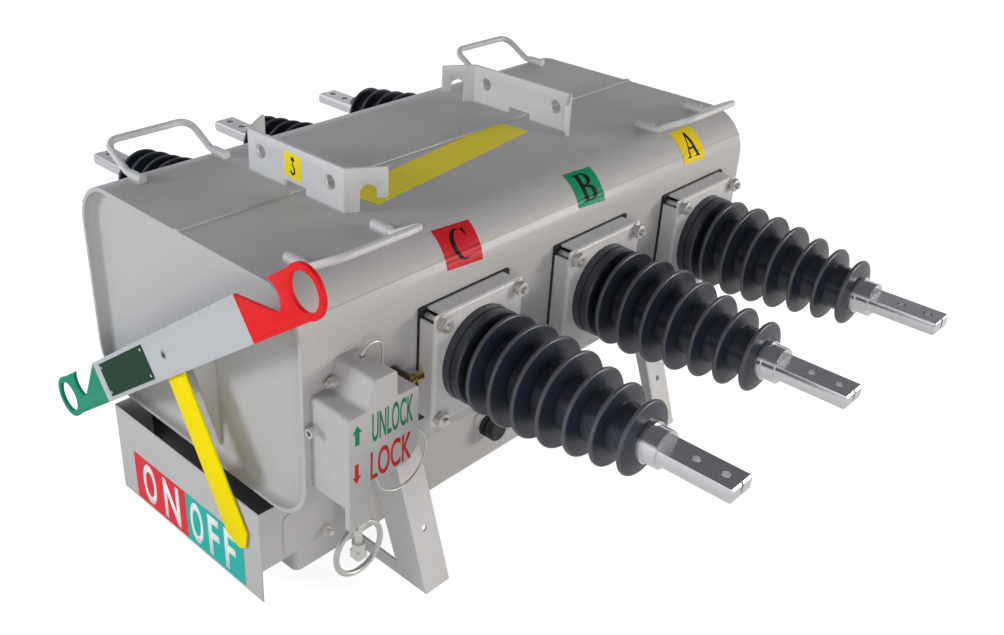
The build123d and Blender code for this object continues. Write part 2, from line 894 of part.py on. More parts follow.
def make_lower_box():
    """Closed sheet box with rounded upright corners, welded under the tank."""
    wall = lower_box_wall
    outer = RectangleRounded(lower_box_length, 2 * lower_box_y, lower_box_corner)
    inner = RectangleRounded(
        lower_box_length - 2 * wall, 2 * (lower_box_y - wall), lower_box_corner - wall
    )
    middle_x = lower_box_front + lower_box_length / 2
    box = Pos(middle_x, 0, lower_box_z) * extrude(outer, lower_box_depth)
    return box - Pos(middle_x, 0, lower_box_z + wall) * extrude(inner, lower_box_depth)


def make_receptacle_plate():
    half_w = receptacle_plate_width / 2
    half_h = receptacle_plate_height / 2
    plate = block(
        (receptacle_x - half_w, receptacle_x + half_w),
        (-lower_box_y - receptacle_plate_thickness, -lower_box_y),
        (receptacle_z - half_h, receptacle_z + half_h),
    )
    return fillet(plate.edges().filter_by(Axis.Y), receptacle_plate_corner)


def make_receptacle():
    """Round outlet with its collar, closed by its cap."""
    back = -lower_box_y - receptacle_plate_thickness
    end = back - receptacle_length
    body_radius = receptacle_radius - receptacle_body_step
    body = rod_y(receptacle_x, end, back, receptacle_z, body_radius)
    collar_end = back - receptacle_collar_length
    collar = rod_y(receptacle_x, collar_end, back, receptacle_z, receptacle_radius)
    cap = rod_y(receptacle_x, end, end + receptacle_cap_length, receptacle_z, receptacle_radius)
    cap = fillet(cap.faces().sort_by(Axis.Y)[0].edges(), receptacle_edge_round)
    return body + collar + cap


def stand_edge(z):
    """Distance of a stand's outer edge from the middle plane at a height."""
    return stand_foot_y + (stand_shoulder_y - stand_foot_y) * z / stand_top_z


def make_stand(web_x, inward):
    """Folded stand: a web with a window, and a flange along each leg."""
    foot = stand_foot_y
    shoulder = stand_shoulder_y
    t = stand_thickness
    outline = [(-foot, 0), (foot, 0), (shoulder, stand_top_z), (-shoulder, stand_top_z)]
    low_x = min(web_x, web_x + inward * t)
    web = plate_x(outline, low_x, t)
    knee_z = bottom_z - stand_window_knee_drop
    knee = stand_edge(knee_z) - stand_window_knee
    base = foot - stand_window_foot
    side = lower_box_y + stand_box_clearance
    side_z = knee_z + stand_window_box_rise
    over = top_z
    window = [
        (-base, stand_base_strip), (base, stand_base_strip), (knee, knee_z), (side, side_z),
        (side, over), (-side, over), (-side, side_z), (-knee, knee_z),
    ]
    web -= plate_x(window, low_x - cut_margin, t + 2 * cut_margin)
    flange_end = web_x + inward * stand_flange_width
    for edge in (-1, 1):
        strip = [
            (edge * foot, 0), (edge * shoulder, stand_top_z),
            (edge * (shoulder - t), stand_top_z), (edge * (foot - t), 0),
        ]
        web += plate_x(strip, min(web_x, flange_end), stand_flange_width)
    web -= rod_y((web_x + flange_end) / 2, -foot, foot, stand_hole_z, stand_hole_diameter / 2)
    return web - tank_section(-weld_gap, tank_length, front_x)


def make_hanger_wing():
    """One flared wing of a hanger bracket, with its arch and its raised tail."""
    t = hanger_thickness
    end = hanger_wing_length
    arch_end = hanger_arch_start + hanger_arch_width
    radius = hanger_arch_width / 2
    spring_line = hanger_arch_height - radius
    low = -cut_margin
    across = (-t - cut_margin, cut_margin)
    wing = block((0, end), (-t, 0), (0, hanger_height))
    wing -= block((hanger_arch_start, arch_end), across, (low, spring_line))
    wing -= rod_y(hanger_arch_start + radius, *across, spring_line, radius)
    return wing - block((arch_end - cut_margin, end + cut_margin), across, (low, hanger_tail_height))


def make_hanger(web_x, inward):
    """Folded hanger bracket with two flared wings that point to the middle of the tank."""
    t = hanger_thickness
    top = top_z + hanger_height
    low_x = min(web_x, web_x + inward * t)
    through = (low_x - cut_margin, low_x + t + cut_margin)
    half = hanger_half_width
    bracket = block((low_x, low_x + t), (-half, half), (top_z, top))
    notch = hanger_notch_half_width
    bracket -= block(through, (-notch, notch), (top_z - cut_margin, top_z + hanger_notch_height))
    for side in (-1, 1):
        y = side * hanger_hole_spacing / 2
        bracket -= rod_x(*through, y, top_z + hanger_hole_height, hanger_hole_diameter / 2)
    wing = Pos(0, half, top_z) * Rot(0, 0, hanger_wing_angle) * make_hanger_wing()
    if inward < 0:
        wing = mirror(wing, Plane.YZ)
    for side in (-1, 1):
        bracket += Pos(web_x, 0, 0) * mirrored(wing, side)
    beside_web = (web_x - inward * 2 * t, web_x)
    past_web = (-half - 2 * t, half + 2 * t)
    bracket -= block(beside_web, past_web, (top_z - cut_margin, top + cut_margin))
    return bracket


def make_lifting_handle(centre_x, side):
    """Bent rod handle with thick feet, welded to the top of the tank."""
    half = handle_leg_spacing / 2
    low = top_z + handle_rod_radius
    foot = wall_y - handle_foot_in
    knee = wall_y - handle_knee_in
    bar = wall_y + handle_bar_out
    path = FilletPolyline(
        (centre_x - half, foot, low),
        (centre_x - half, knee, low),
        (centre_x - half, bar, low + handle_rise),
        (centre_x + half, bar, low + handle_rise),
        (centre_x + half, knee, low),
        (centre_x + half, foot, low),
        radius=handle_bend_radius,
    )
    section = Plane(origin=path @ 0, z_dir=path % 0) * Circle(handle_rod_radius)
    handle = sweep(section, path=path)
    for x in (centre_x - half, centre_x + half):
        handle += rod_y(x, foot, foot + handle_foot_length, low, handle_foot_radius)
    handle -= tank_section(0, tank_length, front_x)
    return mirrored(handle, side)


def make_indicator_tray():
    """Open-topped sheet tray that carries the position sign, bolted to the lower box."""
    t = tray_thickness
    half = tray_y
    top = bottom_z - tray_top_drop
    side_low = bottom_z - tray_side_drop
    low = bottom_z - tray_bottom_drop
    face = block((tray_x, tray_x + t), (-half, half), (low, top))
    tab_x = (front_x + tray_tab_start - tray_projection, front_x + tray_tab_end - tray_projection)
    tab_z = (bottom_z - tray_tab_low_drop, bottom_z - tray_tab_top_drop)
    cheek_end = tray_x + tray_side_reach
    margin = tray_arm_margin
    arm_end = tab_x[1] - margin
    outline = [
        (tray_x, top), (tray_x, side_low), (cheek_end, side_low), (cheek_end, tab_z[0] + margin),
        (arm_end, tab_z[0] + margin), (arm_end, tab_z[1] - margin),
        (cheek_end, tab_z[1] - margin), (cheek_end, top),
    ]
    tray = face
    for side in (-1, 1):
        inner = side * (half - t)
        outer = side * half
        raised = side * (half + tray_tab_thickness)
        tray += plate_y(outline, min(inner, outer), t)
        tab = block(tab_x, sorted((outer, raised)), tab_z)
        tray += fillet(tab.edges().filter_by(Axis.Y), tray_tab_corner)
        hole = tray_bolt_diameter / 2 + fit_clearance
        tray -= rod_y(tray_bolt_x, inner, side * (half + 2 * tray_tab_thickness), tray_bolt_z, hole)
    corners = [
        edge for edge in tray.edges().filter_by(Axis.Z)
        if abs(edge.center().X - tray_x) < t / 2 and abs(abs(edge.center().Y) - half) < t / 2
    ]
    return fillet(corners, tray_bend_radius)


def cover_outline():
    """Outline of the interlock cover in X and Z, as seen on its lettered face."""
    shelf = axis_z + cover_shelf
    hat = axis_z + cover_hat_top
    low = axis_z - cover_body_low
    leg_low = axis_z - cover_leg_low
    left = cover_x
    right = cover_x + cover_width
    hat_end = cover_x + cover_hat_end
    return [
        (left, shelf), (left + cover_hat_start, shelf),
        (left + cover_hat_start + cover_hat_lean, hat), (hat_end, hat), (hat_end, shelf),
        (right, shelf), (right, low + cover_body_corner), (right - cover_body_corner, low),
        (left + cover_leg_width, low), (left + cover_leg_width, leg_low), (left, leg_low),
    ]


def make_cover_shell():
    """The cover's pressed shape as a solid, with all its upper edges rounded."""
    depth = cover_depth
    body = plate_y(cover_outline(), cover_y, depth)
    level = axis_z + cover_shelf - cover_round
    folds = [edge for edge in body.edges().filter_by(Axis.Y) if edge.center().Z > level]
    return fillet(folds, cover_round)


def make_interlock_cover():
    """Deep pressed cover over the lock, open towards the tank wall."""
    wall = cover_wall
    outer = make_cover_shell()
    inner = offset(make_face(Polyline(*cover_outline(), close=True)), -wall, kind=Kind.INTERSECTION)
    hollow = Pos(0, cover_y + wall + cover_depth, 0) * extrude(Plane.XZ * inner, cover_depth)
    level = axis_z + cover_shelf - 2 * wall
    folds = [edge for edge in hollow.edges().filter_by(Axis.Y) if edge.center().Z > level]
    body = outer - fillet(folds, cover_round - wall)
    floor_z = axis_z - cover_side_low
    leg_low = axis_z - cover_leg_low
    leg_x = (cover_x, cover_x + cover_leg_width)
    past = cover_leg_width + cut_margin
    body -= block(
        (cover_x - cut_margin, cover_x + past), (cover_y + cover_leg_depth, 0),
        (leg_low - cut_margin, floor_z),
    )
    body -= block(
        (leg_x[0] + wall, leg_x[1] - wall), (cover_y + wall, -wall_y), (leg_low - cut_margin, floor_z)
    )
    body += block(
        (leg_x[0] + wall, leg_x[1] - wall), (cover_y + wall, -wall_y), (floor_z, floor_z + wall)
    )
    rod_hole = lock_rod_radius + lock_rod_clearance
    hole_top = axis_z - cover_body_low + 2 * wall
    body -= rod_z(lock_rod_x, lock_rod_y, leg_low, hole_top, rod_hole)
    loop_half = lock_loop_width / 2 + lock_slot_margin
    return body - block(
        (lock_wire_x - loop_half, lock_wire_x + loop_half),
        (lock_wire_y - lock_slot_margin, lock_wire_y + lock_slot_margin),
        (axis_z + lock_slot_low, axis_z + cover_hat_top + cut_margin),
    )


def make_lock_slider():
    """Rod, bridge and wire loop that slide together inside the cover."""
    x, y = lock_rod_x, lock_rod_y
    low = axis_z - lock_rod_low
    bridge_z = axis_z - lock_bridge_drop
    margin = lock_bridge_margin
    slider = rod_z(x, y, low, axis_z + lock_rod_high, lock_rod_radius)
    nut_low = low + lock_nut_offset
    sleeve_low = nut_low + lock_nut_height
    half = lock_nut_width / 2
    slider += block((x - half, x + half), (y - half, y + half), (nut_low, sleeve_low))
    slider += rod_z(x, y, sleeve_low, sleeve_low + lock_sleeve_length, lock_sleeve_radius)
    slider += block(
        (x - margin, lock_wire_x + lock_loop_width / 2 + margin), (y - margin, lock_wire_y + margin),
        (bridge_z, bridge_z + lock_bridge_thickness),
    )
    half = lock_loop_width / 2
    foot = bridge_z + lock_bridge_thickness / 2
    loop_top = axis_z + lock_loop_rise
    path = FilletPolyline(
        (lock_wire_x - half, lock_wire_y, foot),
        (lock_wire_x - half, lock_wire_y, loop_top),
        (lock_wire_x + half, lock_wire_y, loop_top),
        (lock_wire_x + half, lock_wire_y, foot),
        radius=half * loop_bend_share,
    )
    section = Plane(origin=path @ 0, z_dir=path % 0) * Circle(lock_wire_radius)
    slider += sweep(section, path=path)
    eye_half = lock_eye_thickness / 2
    slider += rod_x(x - eye_half, x + eye_half, y, lock_eye_z, lock_eye_radius)
    return slider - rod_x(x - eye_half, x + eye_half, y, lock_eye_z, lock_eye_hole)


def make_ring(x, y, top, radius, rod):
    """Round ring across Y, the middle of its rod at a given height on top."""
    return Pos(x, y, top - radius) * Rot(90, 0, 0) * Torus(radius, rod)


def make_pull_ring():
    top = lock_eye_z - ring_hang_clearance
    return make_ring(lock_rod_x, lock_rod_y, top, pull_ring_radius, pull_ring_rod)


def make_side_ring():
    return make_ring(side_ring_x, side_ring_y, side_ring_top, side_ring_radius, side_ring_rod)


def make_valve_bracket():
    """Small bracket on the wall that holds the valve and the side ring's eye."""
    t = valve_bracket_thickness
    high = axis_z + valve_bracket_rise
    margin = valve_bracket_margin
    plate = block((valve_x - t, valve_x), (valve_y - margin, -wall_y), (axis_z - valve_bracket_fall, high))
    hole = valve_stem_radius + fit_clearance
    plate -= rod_x(valve_x - 2 * t, valve_x + t, valve_y, axis_z, hole)
    low = side_ring_top - ring_leg_margin
    half = ring_leg_thickness / 2
    leg = block(
        (side_ring_x - half, side_ring_x + half), (side_ring_y - ring_leg_margin, -wall_y),
        (low, low + ring_leg_height),
    )
    eye = side_ring_rod + cut_margin
    leg -= rod_x(
        side_ring_x - ring_leg_thickness, side_ring_x + ring_leg_thickness, side_ring_y,
        side_ring_top + ring_hang_clearance, eye,
    )
    back = block((side_ring_x - half, valve_x), (-wall_y - t, -wall_y), (low, high))
    return plate + leg + back


def make_gas_valve():
    """Filling valve with its hexagon, stem and cap."""
    nut_end = valve_x + valve_nut_length
    body_end = nut_end + valve_body_length
    stem_start = valve_x + valve_nut_length / 2 - valve_stem_length
    stem = rod_x(stem_start, nut_end, valve_y, axis_z, valve_stem_radius)
    hexagon = Plane.YZ * RegularPolygon(valve_radius, 6, major_radius=False)
    nut = Pos(valve_x, valve_y, axis_z) * extrude(hexagon, valve_nut_length)
    body = rod_x(nut_end, body_end, valve_y, axis_z, valve_stem_radius)
    cap = rod_x(body_end, body_end + valve_cap_length, valve_y, axis_z, valve_radius * 0.9)
    return stem + nut + body + cap


def make_small_fasteners():
    """Cover bolt, hollow lock pin and the two bolts of the sign tray."""
    bolt_y = -wall_y - cover_bolt_inset
    bolt_z = axis_z + cover_bolt_height
    seat_x = cover_x + cover_hat_start
    inner_x = seat_x + cover_hat_lean
    head_x = seat_x - cover_bolt_head
    bolt = rod_x(head_x, inner_x, bolt_y, bolt_z, cover_bolt_radius)
    bolt += rod_x(head_x - cover_bolt_end_length, head_x, bolt_y, bolt_z, cover_bolt_end_radius)
    bolt = (bolt - make_cover_shell()).solids().sort_by(Axis.X)[0]
    pin_y = -wall_y - cover_pin_inset
    pin_z = axis_z + cover_pin_height
    pin_end = cover_x - cover_pin_length
    pin = rod_x(pin_end, cover_x, pin_y, pin_z, cover_pin_radius)
    pin -= rod_x(pin_end, pin_end + cover_pin_bore_depth, pin_y, pin_z, cover_pin_bore)
    pieces = [bolt, pin]
    for side in (-1, 1):
        root = side * lower_box_y
        face = side * (tray_y + tray_tab_thickness)
        nut_end = side * (tray_y + tray_tab_thickness + tray_nut_height)
        end = side * (tray_y + tray_tab_thickness + tray_bolt_end)
        stud = rod_y(tray_bolt_x, root, end, tray_bolt_z, tray_bolt_diameter / 2)
        pieces.append(stud + hexagon_y(tray_bolt_x, face, nut_end, tray_bolt_z, tray_nut_width))
    return Compound(children=pieces)


parts = {
    "tank_shell": make_tank_shell(),
    "front_end_plate": make_front_end_plate(),
    "rear_end_plate": make_rear_end_plate(),
    "bushing_gaskets": make_gaskets(),
    "bushing_studs": make_studs(),
    "bushing_nuts": make_nuts(),
    "main_shaft": make_main_shaft(),
    "shaft_bushes": make_shaft_bushes(),
    "shaft_seal": make_shaft_seal(),
    "shaft_support": make_shaft_support(),
    "operating_lever": make_operating_lever(),
    "lever_nameplate": make_nameplate(),
    "nameplate_rivets": make_rivets(),
    "position_pointer": make_pointer(),
    "lever_hub": make_lever_hub(),
    "moving_contacts": make_moving_contacts(),
    "contact_clamps": make_contact_clamps(),
    "fixed_contacts": make_fixed_contacts(),
    "snap_spring": make_snap_spring(),
    "spring_plates": make_spring_plates(),
    "dryer_pack": make_dryer_pack(),
    "lower_box": make_lower_box(),
    "receptacle_plate": make_receptacle_plate(),
    "outlet_receptacle": make_receptacle(),
    "front_stand": make_stand(front_x + front_stand_setback, 1),
    "rear_stand": make_stand(rear_x - rear_stand_setback, -1),
    "front_hanger_bracket": make_hanger(front_hanger_x, 1),
    "rear_hanger_bracket": make_hanger(front_hanger_x + hanger_spacing, -1),
    "indicator_tray": make_indicator_tray(),
    "interlock_cover": make_interlock_cover(),
    "lock_slider": make_lock_slider(),
    "pull_ring": make_pull_ring(),
    "side_ring": make_side_ring(),
    "valve_bracket": make_valve_bracket(),
    "gas_valve": make_gas_valve(),
    "small_fasteners": make_small_fasteners(),
}

bushing = make_bushing()
terminal = make_terminal()
cover_plate = make_cover_plate()
for name, x in zip(phase_names, phase_x):
    for side, side_name in ((-1, "near"), (1, "far")):
        parts[f"{side_name}_bushing_{name}"] = Pos(x, 0, axis_z) * mirrored(bushing, side)
        parts[f"{side_name}_terminal_{name}"] = Pos(x, 0, 0) * mirrored(terminal, side)
        parts[f"{side_name}_cover_plate_{name}"] = Pos(x, 0, 0) * mirrored(cover_plate, side)

for end, handle_x in (("front", front_x + handle_setback), ("rear", rear_x - handle_setback)):
    for side, side_name in ((-1, "near"), (1, "far")):
        parts[f"{end}_{side_name}_lifting_handle"] = make_lifting_handle(handle_x, side)

os.makedirs("parts", exist_ok=True)
for name, shape in parts.items():
    export_step(shape, f"parts/{name}.step")
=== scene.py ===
import json
from math import cos, pi, radians, sin

import bpy
from mathutils import Matrix, Vector


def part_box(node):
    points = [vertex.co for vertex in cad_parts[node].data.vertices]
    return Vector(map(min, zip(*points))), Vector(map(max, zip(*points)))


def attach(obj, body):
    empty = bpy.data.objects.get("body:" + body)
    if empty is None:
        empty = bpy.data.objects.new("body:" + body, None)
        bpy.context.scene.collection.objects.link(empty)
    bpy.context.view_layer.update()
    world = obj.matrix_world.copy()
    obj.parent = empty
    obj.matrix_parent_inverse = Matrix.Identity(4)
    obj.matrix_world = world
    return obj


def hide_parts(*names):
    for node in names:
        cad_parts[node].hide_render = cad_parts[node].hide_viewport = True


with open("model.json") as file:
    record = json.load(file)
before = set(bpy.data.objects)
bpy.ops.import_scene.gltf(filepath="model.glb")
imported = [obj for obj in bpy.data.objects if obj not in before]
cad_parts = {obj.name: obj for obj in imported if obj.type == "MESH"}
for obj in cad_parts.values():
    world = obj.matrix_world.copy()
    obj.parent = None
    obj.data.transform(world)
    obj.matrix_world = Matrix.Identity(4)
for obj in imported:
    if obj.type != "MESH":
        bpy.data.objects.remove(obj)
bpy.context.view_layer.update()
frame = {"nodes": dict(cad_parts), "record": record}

# Places and sizes in metres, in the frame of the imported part
axis_z = 0.403
phase_pitch = 0.310
middle_phase_x = 0.0968
phase_x = {"c": middle_phase_x - phase_pitch, "b": middle_phase_x, "a": middle_phase_x + phase_pitch}

shell_low, shell_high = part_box("tank_shell")
tank_half_width = shell_high.y
tank_half_height = axis_z - shell_low.z
tank_top = axis_z + tank_half_height
tank_corner = 0.080

lever_tilt = radians(35.5)
lever_paint_start = 0.261
lever_paint_wander = 0.0006

# Where the sheds stand along a bushing, their outer radii and the lighter band on their rims, which is a
# painted highlight and some wear
first_shed = 0.3668
shed_pitch = 0.042
shed_radii = (0.0825, 0.0836, 0.0812, 0.0764, 0.0694, 0.0640, 0.0575)
rim_start = -0.0050
rim_end = -0.0008
rim_highlight_and_wear = 0.75

# Camera at the photograph's viewing angle
photo_width = 1004.0
photo_height = 635.0
camera_place = Vector((-1.2917, -1.2512, 1.2733))
camera_yaw = radians(46.082)
camera_pitch = radians(28.829)
camera_roll = radians(1.84)
focal_pixels = 1090.9
optical_centre_x = 431.8
optical_centre_y = 301.4
sensor_width = 36.0

# Colours of the object
tank_grey = (0.515, 0.512, 0.512)
# Lighter copy of the tank grey for brackets, stands, handles and cover plates: painted light
lit_sheet_grey = (0.68, 0.68, 0.685)
lever_grey = (0.55, 0.56, 0.575)
signal_red = (0.84, 0.016, 0.020)
signal_green = (0.010, 0.290, 0.170)
sign_red = (0.78, 0.030, 0.045)
sign_teal = (0.020, 0.470, 0.400)
pointer_yellow = (1.0, 0.80, 0.0)
strip_yellow = (0.96, 0.80, 0.010)
label_red = (0.62, 0.020, 0.030)
label_green = (0.012, 0.300, 0.130)
label_yellow = (0.90, 0.66, 0.012)
plate_green = (0.010, 0.045, 0.025)
rubber_blue_black = (0.0220, 0.0270, 0.0440)
# Lighter grey of the shed rims: painted highlight where they catch light, and some wear
rim_highlight_and_wear_grey = (0.108, 0.110, 0.118)
rubber_dust = (0.09, 0.092, 0.10)
seal_black = (0.014, 0.014, 0.015)
receptacle_black = (0.010, 0.010, 0.011)
# Black of the sheet behind the sign tray: painted shade
shade_sheet_black = (0.010, 0.010, 0.011)
bright_metal = (0.80, 0.80, 0.82)
zinc_grey = (0.74, 0.73, 0.71)
ring_grey = (0.64, 0.63, 0.61)
shaft_grey = (0.52, 0.52, 0.53)
spring_grey = (0.36, 0.36, 0.38)
pin_grey = (0.08, 0.08, 0.085)
bronze_brown = (0.52, 0.36, 0.17)
# Dark brown of the small bracket: painted shade, as it lies in shadow
shaded_bracket_brown = (0.105, 0.075, 0.055)
resin_brown = (0.42, 0.24, 0.10)
copper_red = (0.78, 0.48, 0.34)
brass_yellow = (0.62, 0.43, 0.19)
cloth_white = (0.78, 0.77, 0.73)
letter_white = (0.93, 0.95, 0.96)
letter_black = (0.012, 0.012, 0.013)
letter_red = (0.62, 0.030, 0.026)
letter_green = (0.012, 0.230, 0.115)
dust_grey = (0.30, 0.29, 0.27)

# Floor, studio and lamp colours
floor_radius = 16.0
floor_white = (0.62, 0.62, 0.62)
floor_glow = 0.80
floor_mirror_share = 0.35
wall_colour = (0.96, 0.97, 1.0)
ceiling_colour = (0.40, 0.41, 0.44)
wall_mirror = (0.92, 0.93, 0.95)
ceiling_mirror = (0.12, 0.12, 0.13)
ceiling_start = 0.18
ceiling_end = 0.46
room_strength = 0.50
pure_white = (1.0, 1.0, 1.0)
warm_light = (1.0, 0.945, 0.885)
soft_warm_light = (1.0, 0.955, 0.90)
cool_light = (0.92, 0.965, 1.0)


# Shader nodes

def add_node(tree, kind, **values):
    node = tree.nodes.new(kind)
    for key, value in values.items():
        setattr(node, key, value)
    return node


def link(tree, source, target):
    tree.links.new(source, target)


def feed(tree, value, socket):
    """Link another node's output to a socket, or set the socket to a number, vector or colour."""
    if hasattr(value, "is_linked"):
        link(tree, value, socket)
    elif socket.type == "RGBA":
        socket.default_value = (*value, 1.0)
    else:
        socket.default_value = value


def maths(tree, operation, first, second=None):
    node = add_node(tree, "ShaderNodeMath", operation=operation)
    feed(tree, first, node.inputs[0])
    if second is not None:
        feed(tree, second, node.inputs[1])
    return node.outputs[0]


def noise(tree, vector, scale, detail=3.0, roughness=0.55):
    node = add_node(tree, "ShaderNodeTexNoise")
    feed(tree, scale, node.inputs["Scale"])
    node.inputs["Detail"].default_value = detail
    node.inputs["Roughness"].default_value = roughness
    link(tree, vector, node.inputs["Vector"])
    return node.outputs["Fac"]


def spread(tree, value, low, high, out_low=0.0, out_high=1.0, curve="SMOOTHSTEP"):
    """Map a range of a value to another range and keep it within its limits."""
    node = add_node(tree, "ShaderNodeMapRange", interpolation_type=curve)
    link(tree, value, node.inputs["Value"])
    node.inputs["From Min"].default_value = low
    node.inputs["From Max"].default_value = high
    node.inputs["To Min"].default_value = out_low
    node.inputs["To Max"].default_value = out_high
    return node.outputs["Result"]


def mix_colour(tree, factor, first, second):
    """A Mix node has its factor at 0, its two colours at 6 and 7 and its result at 2."""
    node = add_node(tree, "ShaderNodeMix", data_type="RGBA")
    for index, value in ((0, factor), (6, first), (7, second)):
        feed(tree, value, node.inputs[index])
    return node.outputs[2]


def split_axes(tree, vector):
    node = add_node(tree, "ShaderNodeSeparateXYZ")
    link(tree, vector, node.inputs["Vector"])
    return node.outputs


# Shader node groups

def new_group(name, inputs, outputs):
    group = bpy.data.node_groups.new(name, "ShaderNodeTree")
    for label, kind, value in inputs:
        socket = group.interface.new_socket(name=label, in_out="INPUT", socket_type=kind)
        if value is not None:
            socket.default_value = value
    for label, kind in outputs:
        group.interface.new_socket(name=label, in_out="OUTPUT", socket_type=kind)
    start = group.nodes.new("NodeGroupInput")
    end = group.nodes.new("NodeGroupOutput")
    return group, start.outputs, end.inputs


def make_surface_tone():
    """Slow and fine variation of a colour, as on any painted, cast or rolled surface."""
    group, given, result = new_group(
        "surface_tone",
        [("Vector", "NodeSocketVector", None), ("Colour", "NodeSocketColor", None),
         ("Slow", "NodeSocketFloat", 0.06), ("Fine", "NodeSocketFloat", 0.03),
         ("Fine Scale", "NodeSocketFloat", 60.0)],
        [("Colour", "NodeSocketColor"), ("Mask", "NodeSocketFloat")],
    )
    slow = noise(group, given["Vector"], 4.5, detail=4.0)
    fine = noise(group, given["Vector"], given["Fine Scale"], detail=5.0, roughness=0.5)
    slow_part = maths(group, "MULTIPLY", maths(group, "SUBTRACT", slow, 0.5), given["Slow"])
    fine_part = maths(group, "MULTIPLY", maths(group, "SUBTRACT", fine, 0.5), given["Fine"])
    change = maths(group, "ADD", slow_part, fine_part)
    factor = maths(group, "ADD", maths(group, "MULTIPLY", change, 2.0), 1.0)
    scaled = add_node(group, "ShaderNodeVectorMath", operation="SCALE")
    link(group, given["Colour"], scaled.inputs[0])
    link(group, factor, scaled.inputs["Scale"])
    link(group, scaled.outputs["Vector"], result["Colour"])
    link(group, slow, result["Mask"])
    return group


def make_fine_relief():
    """Height of the fine texture of paint, rubber or cast metal."""
    group, given, result = new_group(
        "fine_relief",
        [("Vector", "NodeSocketVector", None), ("Scale", "NodeSocketFloat", 400.0)],
        [("Height", "NodeSocketFloat")],
    )
    height = noise(group, given["Vector"], given["Scale"], detail=2.0, roughness=0.5)
    link(group, height, result["Height"])
    return group


def make_settled_dust():
    """A thin veil of dust that lies where the surface faces up."""
    group, given, result = new_group(
        "settled_dust",
        [("Vector", "NodeSocketVector", None), ("Colour", "NodeSocketColor", None),
         ("Dust", "NodeSocketColor", (*dust_grey, 1.0)), ("Amount", "NodeSocketFloat", 0.15)],
        [("Colour", "NodeSocketColor"), ("Mask", "NodeSocketFloat")],
    )
    geometry = add_node(group, "ShaderNodeNewGeometry")
    facing_up = spread(group, split_axes(group, geometry.outputs["Normal"])["Z"], 0.1, 1.0)
    patches = spread(group, noise(group, given["Vector"], 22.0, detail=5.0, roughness=0.65), 0.35, 0.75)
    mask = maths(group, "MULTIPLY", maths(group, "MULTIPLY", facing_up, patches), given["Amount"])
    link(group, mix_colour(group, mask, given["Colour"], given["Dust"]), result["Colour"])
    link(group, mask, result["Mask"])
    return group


surface_tone = make_surface_tone()
fine_relief = make_fine_relief()
settled_dust = make_settled_dust()


# Materials

class Finish:
    """A material under construction: its node tree, shader and object coordinates."""

    def __init__(self, name, roughness, metallic=0.0, coat=0.0, specular=0.5):
        self.material = bpy.data.materials.new(name)
        self.material.use_nodes = True
        self.tree = self.material.node_tree
        self.shader = self.tree.nodes["Principled BSDF"]
        self.shader.inputs["Roughness"].default_value = roughness
        self.shader.inputs["Metallic"].default_value = metallic
        self.shader.inputs["Coat Weight"].default_value = coat
        self.shader.inputs["Specular IOR Level"].default_value = specular
        self.place = add_node(self.tree, "ShaderNodeTexCoord").outputs["Object"]

    def axes(self):
        return split_axes(self.tree, self.place)

    def group(self, group, **values):
        node = add_node(self.tree, "ShaderNodeGroup", node_tree=group)
        link(self.tree, self.place, node.inputs["Vector"])
        for key, value in values.items():
            feed(self.tree, value, node.inputs[key.replace("_", " ").title()])
        return node.outputs

    def colour(self, source):
        link(self.tree, source, self.shader.inputs["Base Color"])

    def rough(self, mask, low, high):
        """Let the roughness wander between two values with a mask."""
        link(self.tree, spread(self.tree, mask, 0.25, 0.75, low, high), self.shader.inputs["Roughness"])

    def relief(self, height, distance, strength=1.0):
        """Bump the surface by a height, whose full range is a distance in metres."""
        bump = add_node(self.tree, "ShaderNodeBump")
        bump.inputs["Distance"].default_value = distance
        bump.inputs["Strength"].default_value = strength
        link(self.tree, height, bump.inputs["Height"])
        link(self.tree, bump.outputs["Normal"], self.shader.inputs["Normal"])

    def grain(self, scale, distance, strength):
        self.relief(self.group(fine_relief, scale=scale)["Height"], distance, strength)


def painted(name, colour, roughness=0.36, dust=0.10, coat=0.45, specular=0.35):
    """Sprayed gloss paint on sheet steel, with a faint orange peel."""
    finish = Finish(name, roughness, coat=coat, specular=specular)
    finish.shader.inputs["Coat Roughness"].default_value = 0.14
    tone = finish.group(surface_tone, colour=colour, slow=0.05, fine=0.03, fine_scale=90.0)
    finish.colour(finish.group(settled_dust, colour=tone["Colour"], amount=dust)["Colour"])
    finish.rough(tone["Mask"], roughness - 0.04, roughness + 0.06)
    finish.grain(scale=260.0, distance=0.00012, strength=0.5)
    return finish.material


def place_on_bushing(finish):
    """Distance from the nearest bushing's axis, and distance from the tank's middle along it."""
    tree = finish.tree
    axes = finish.axes()
    steps = maths(tree, "DIVIDE", maths(tree, "SUBTRACT", axes["X"], middle_phase_x), phase_pitch)
    nearest = maths(tree, "SUBTRACT", steps, maths(tree, "ROUND", steps))
    across = maths(tree, "MULTIPLY", nearest, phase_pitch)
    height = maths(tree, "SUBTRACT", axes["Z"], axis_z)
    across_squared = maths(tree, "MULTIPLY", across, across)
    height_squared = maths(tree, "MULTIPLY", height, height)
    radius = maths(tree, "SQRT", maths(tree, "ADD", across_squared, height_squared))
    return radius, maths(tree, "ABSOLUTE", axes["Y"])


def shed_rim_mask(finish):
    """One on the outer rims of the sheds, which are painted lighter: a painted highlight where the rims
    catch light, and some wear.

    A colour ramp along the bushing holds the sheds' outer radii in metres as greys.
    """
    tree = finish.tree
    radius, reach = place_on_bushing(finish)
    last = len(shed_radii) - 1
    along = spread(tree, reach, first_shed, first_shed + shed_pitch * last, curve="LINEAR")
    ramp = add_node(tree, "ShaderNodeValToRGB")
    stops = ramp.color_ramp.elements
    for index in range(1, last):
        stops.new(index / last)
    for stop, shed_radius in zip(stops, shed_radii):
        stop.color = (shed_radius, shed_radius, shed_radius, 1.0)
    link(tree, along, ramp.inputs["Fac"])
    inset = maths(tree, "SUBTRACT", radius, ramp.outputs["Color"])
    return spread(tree, inset, rim_start, rim_end)


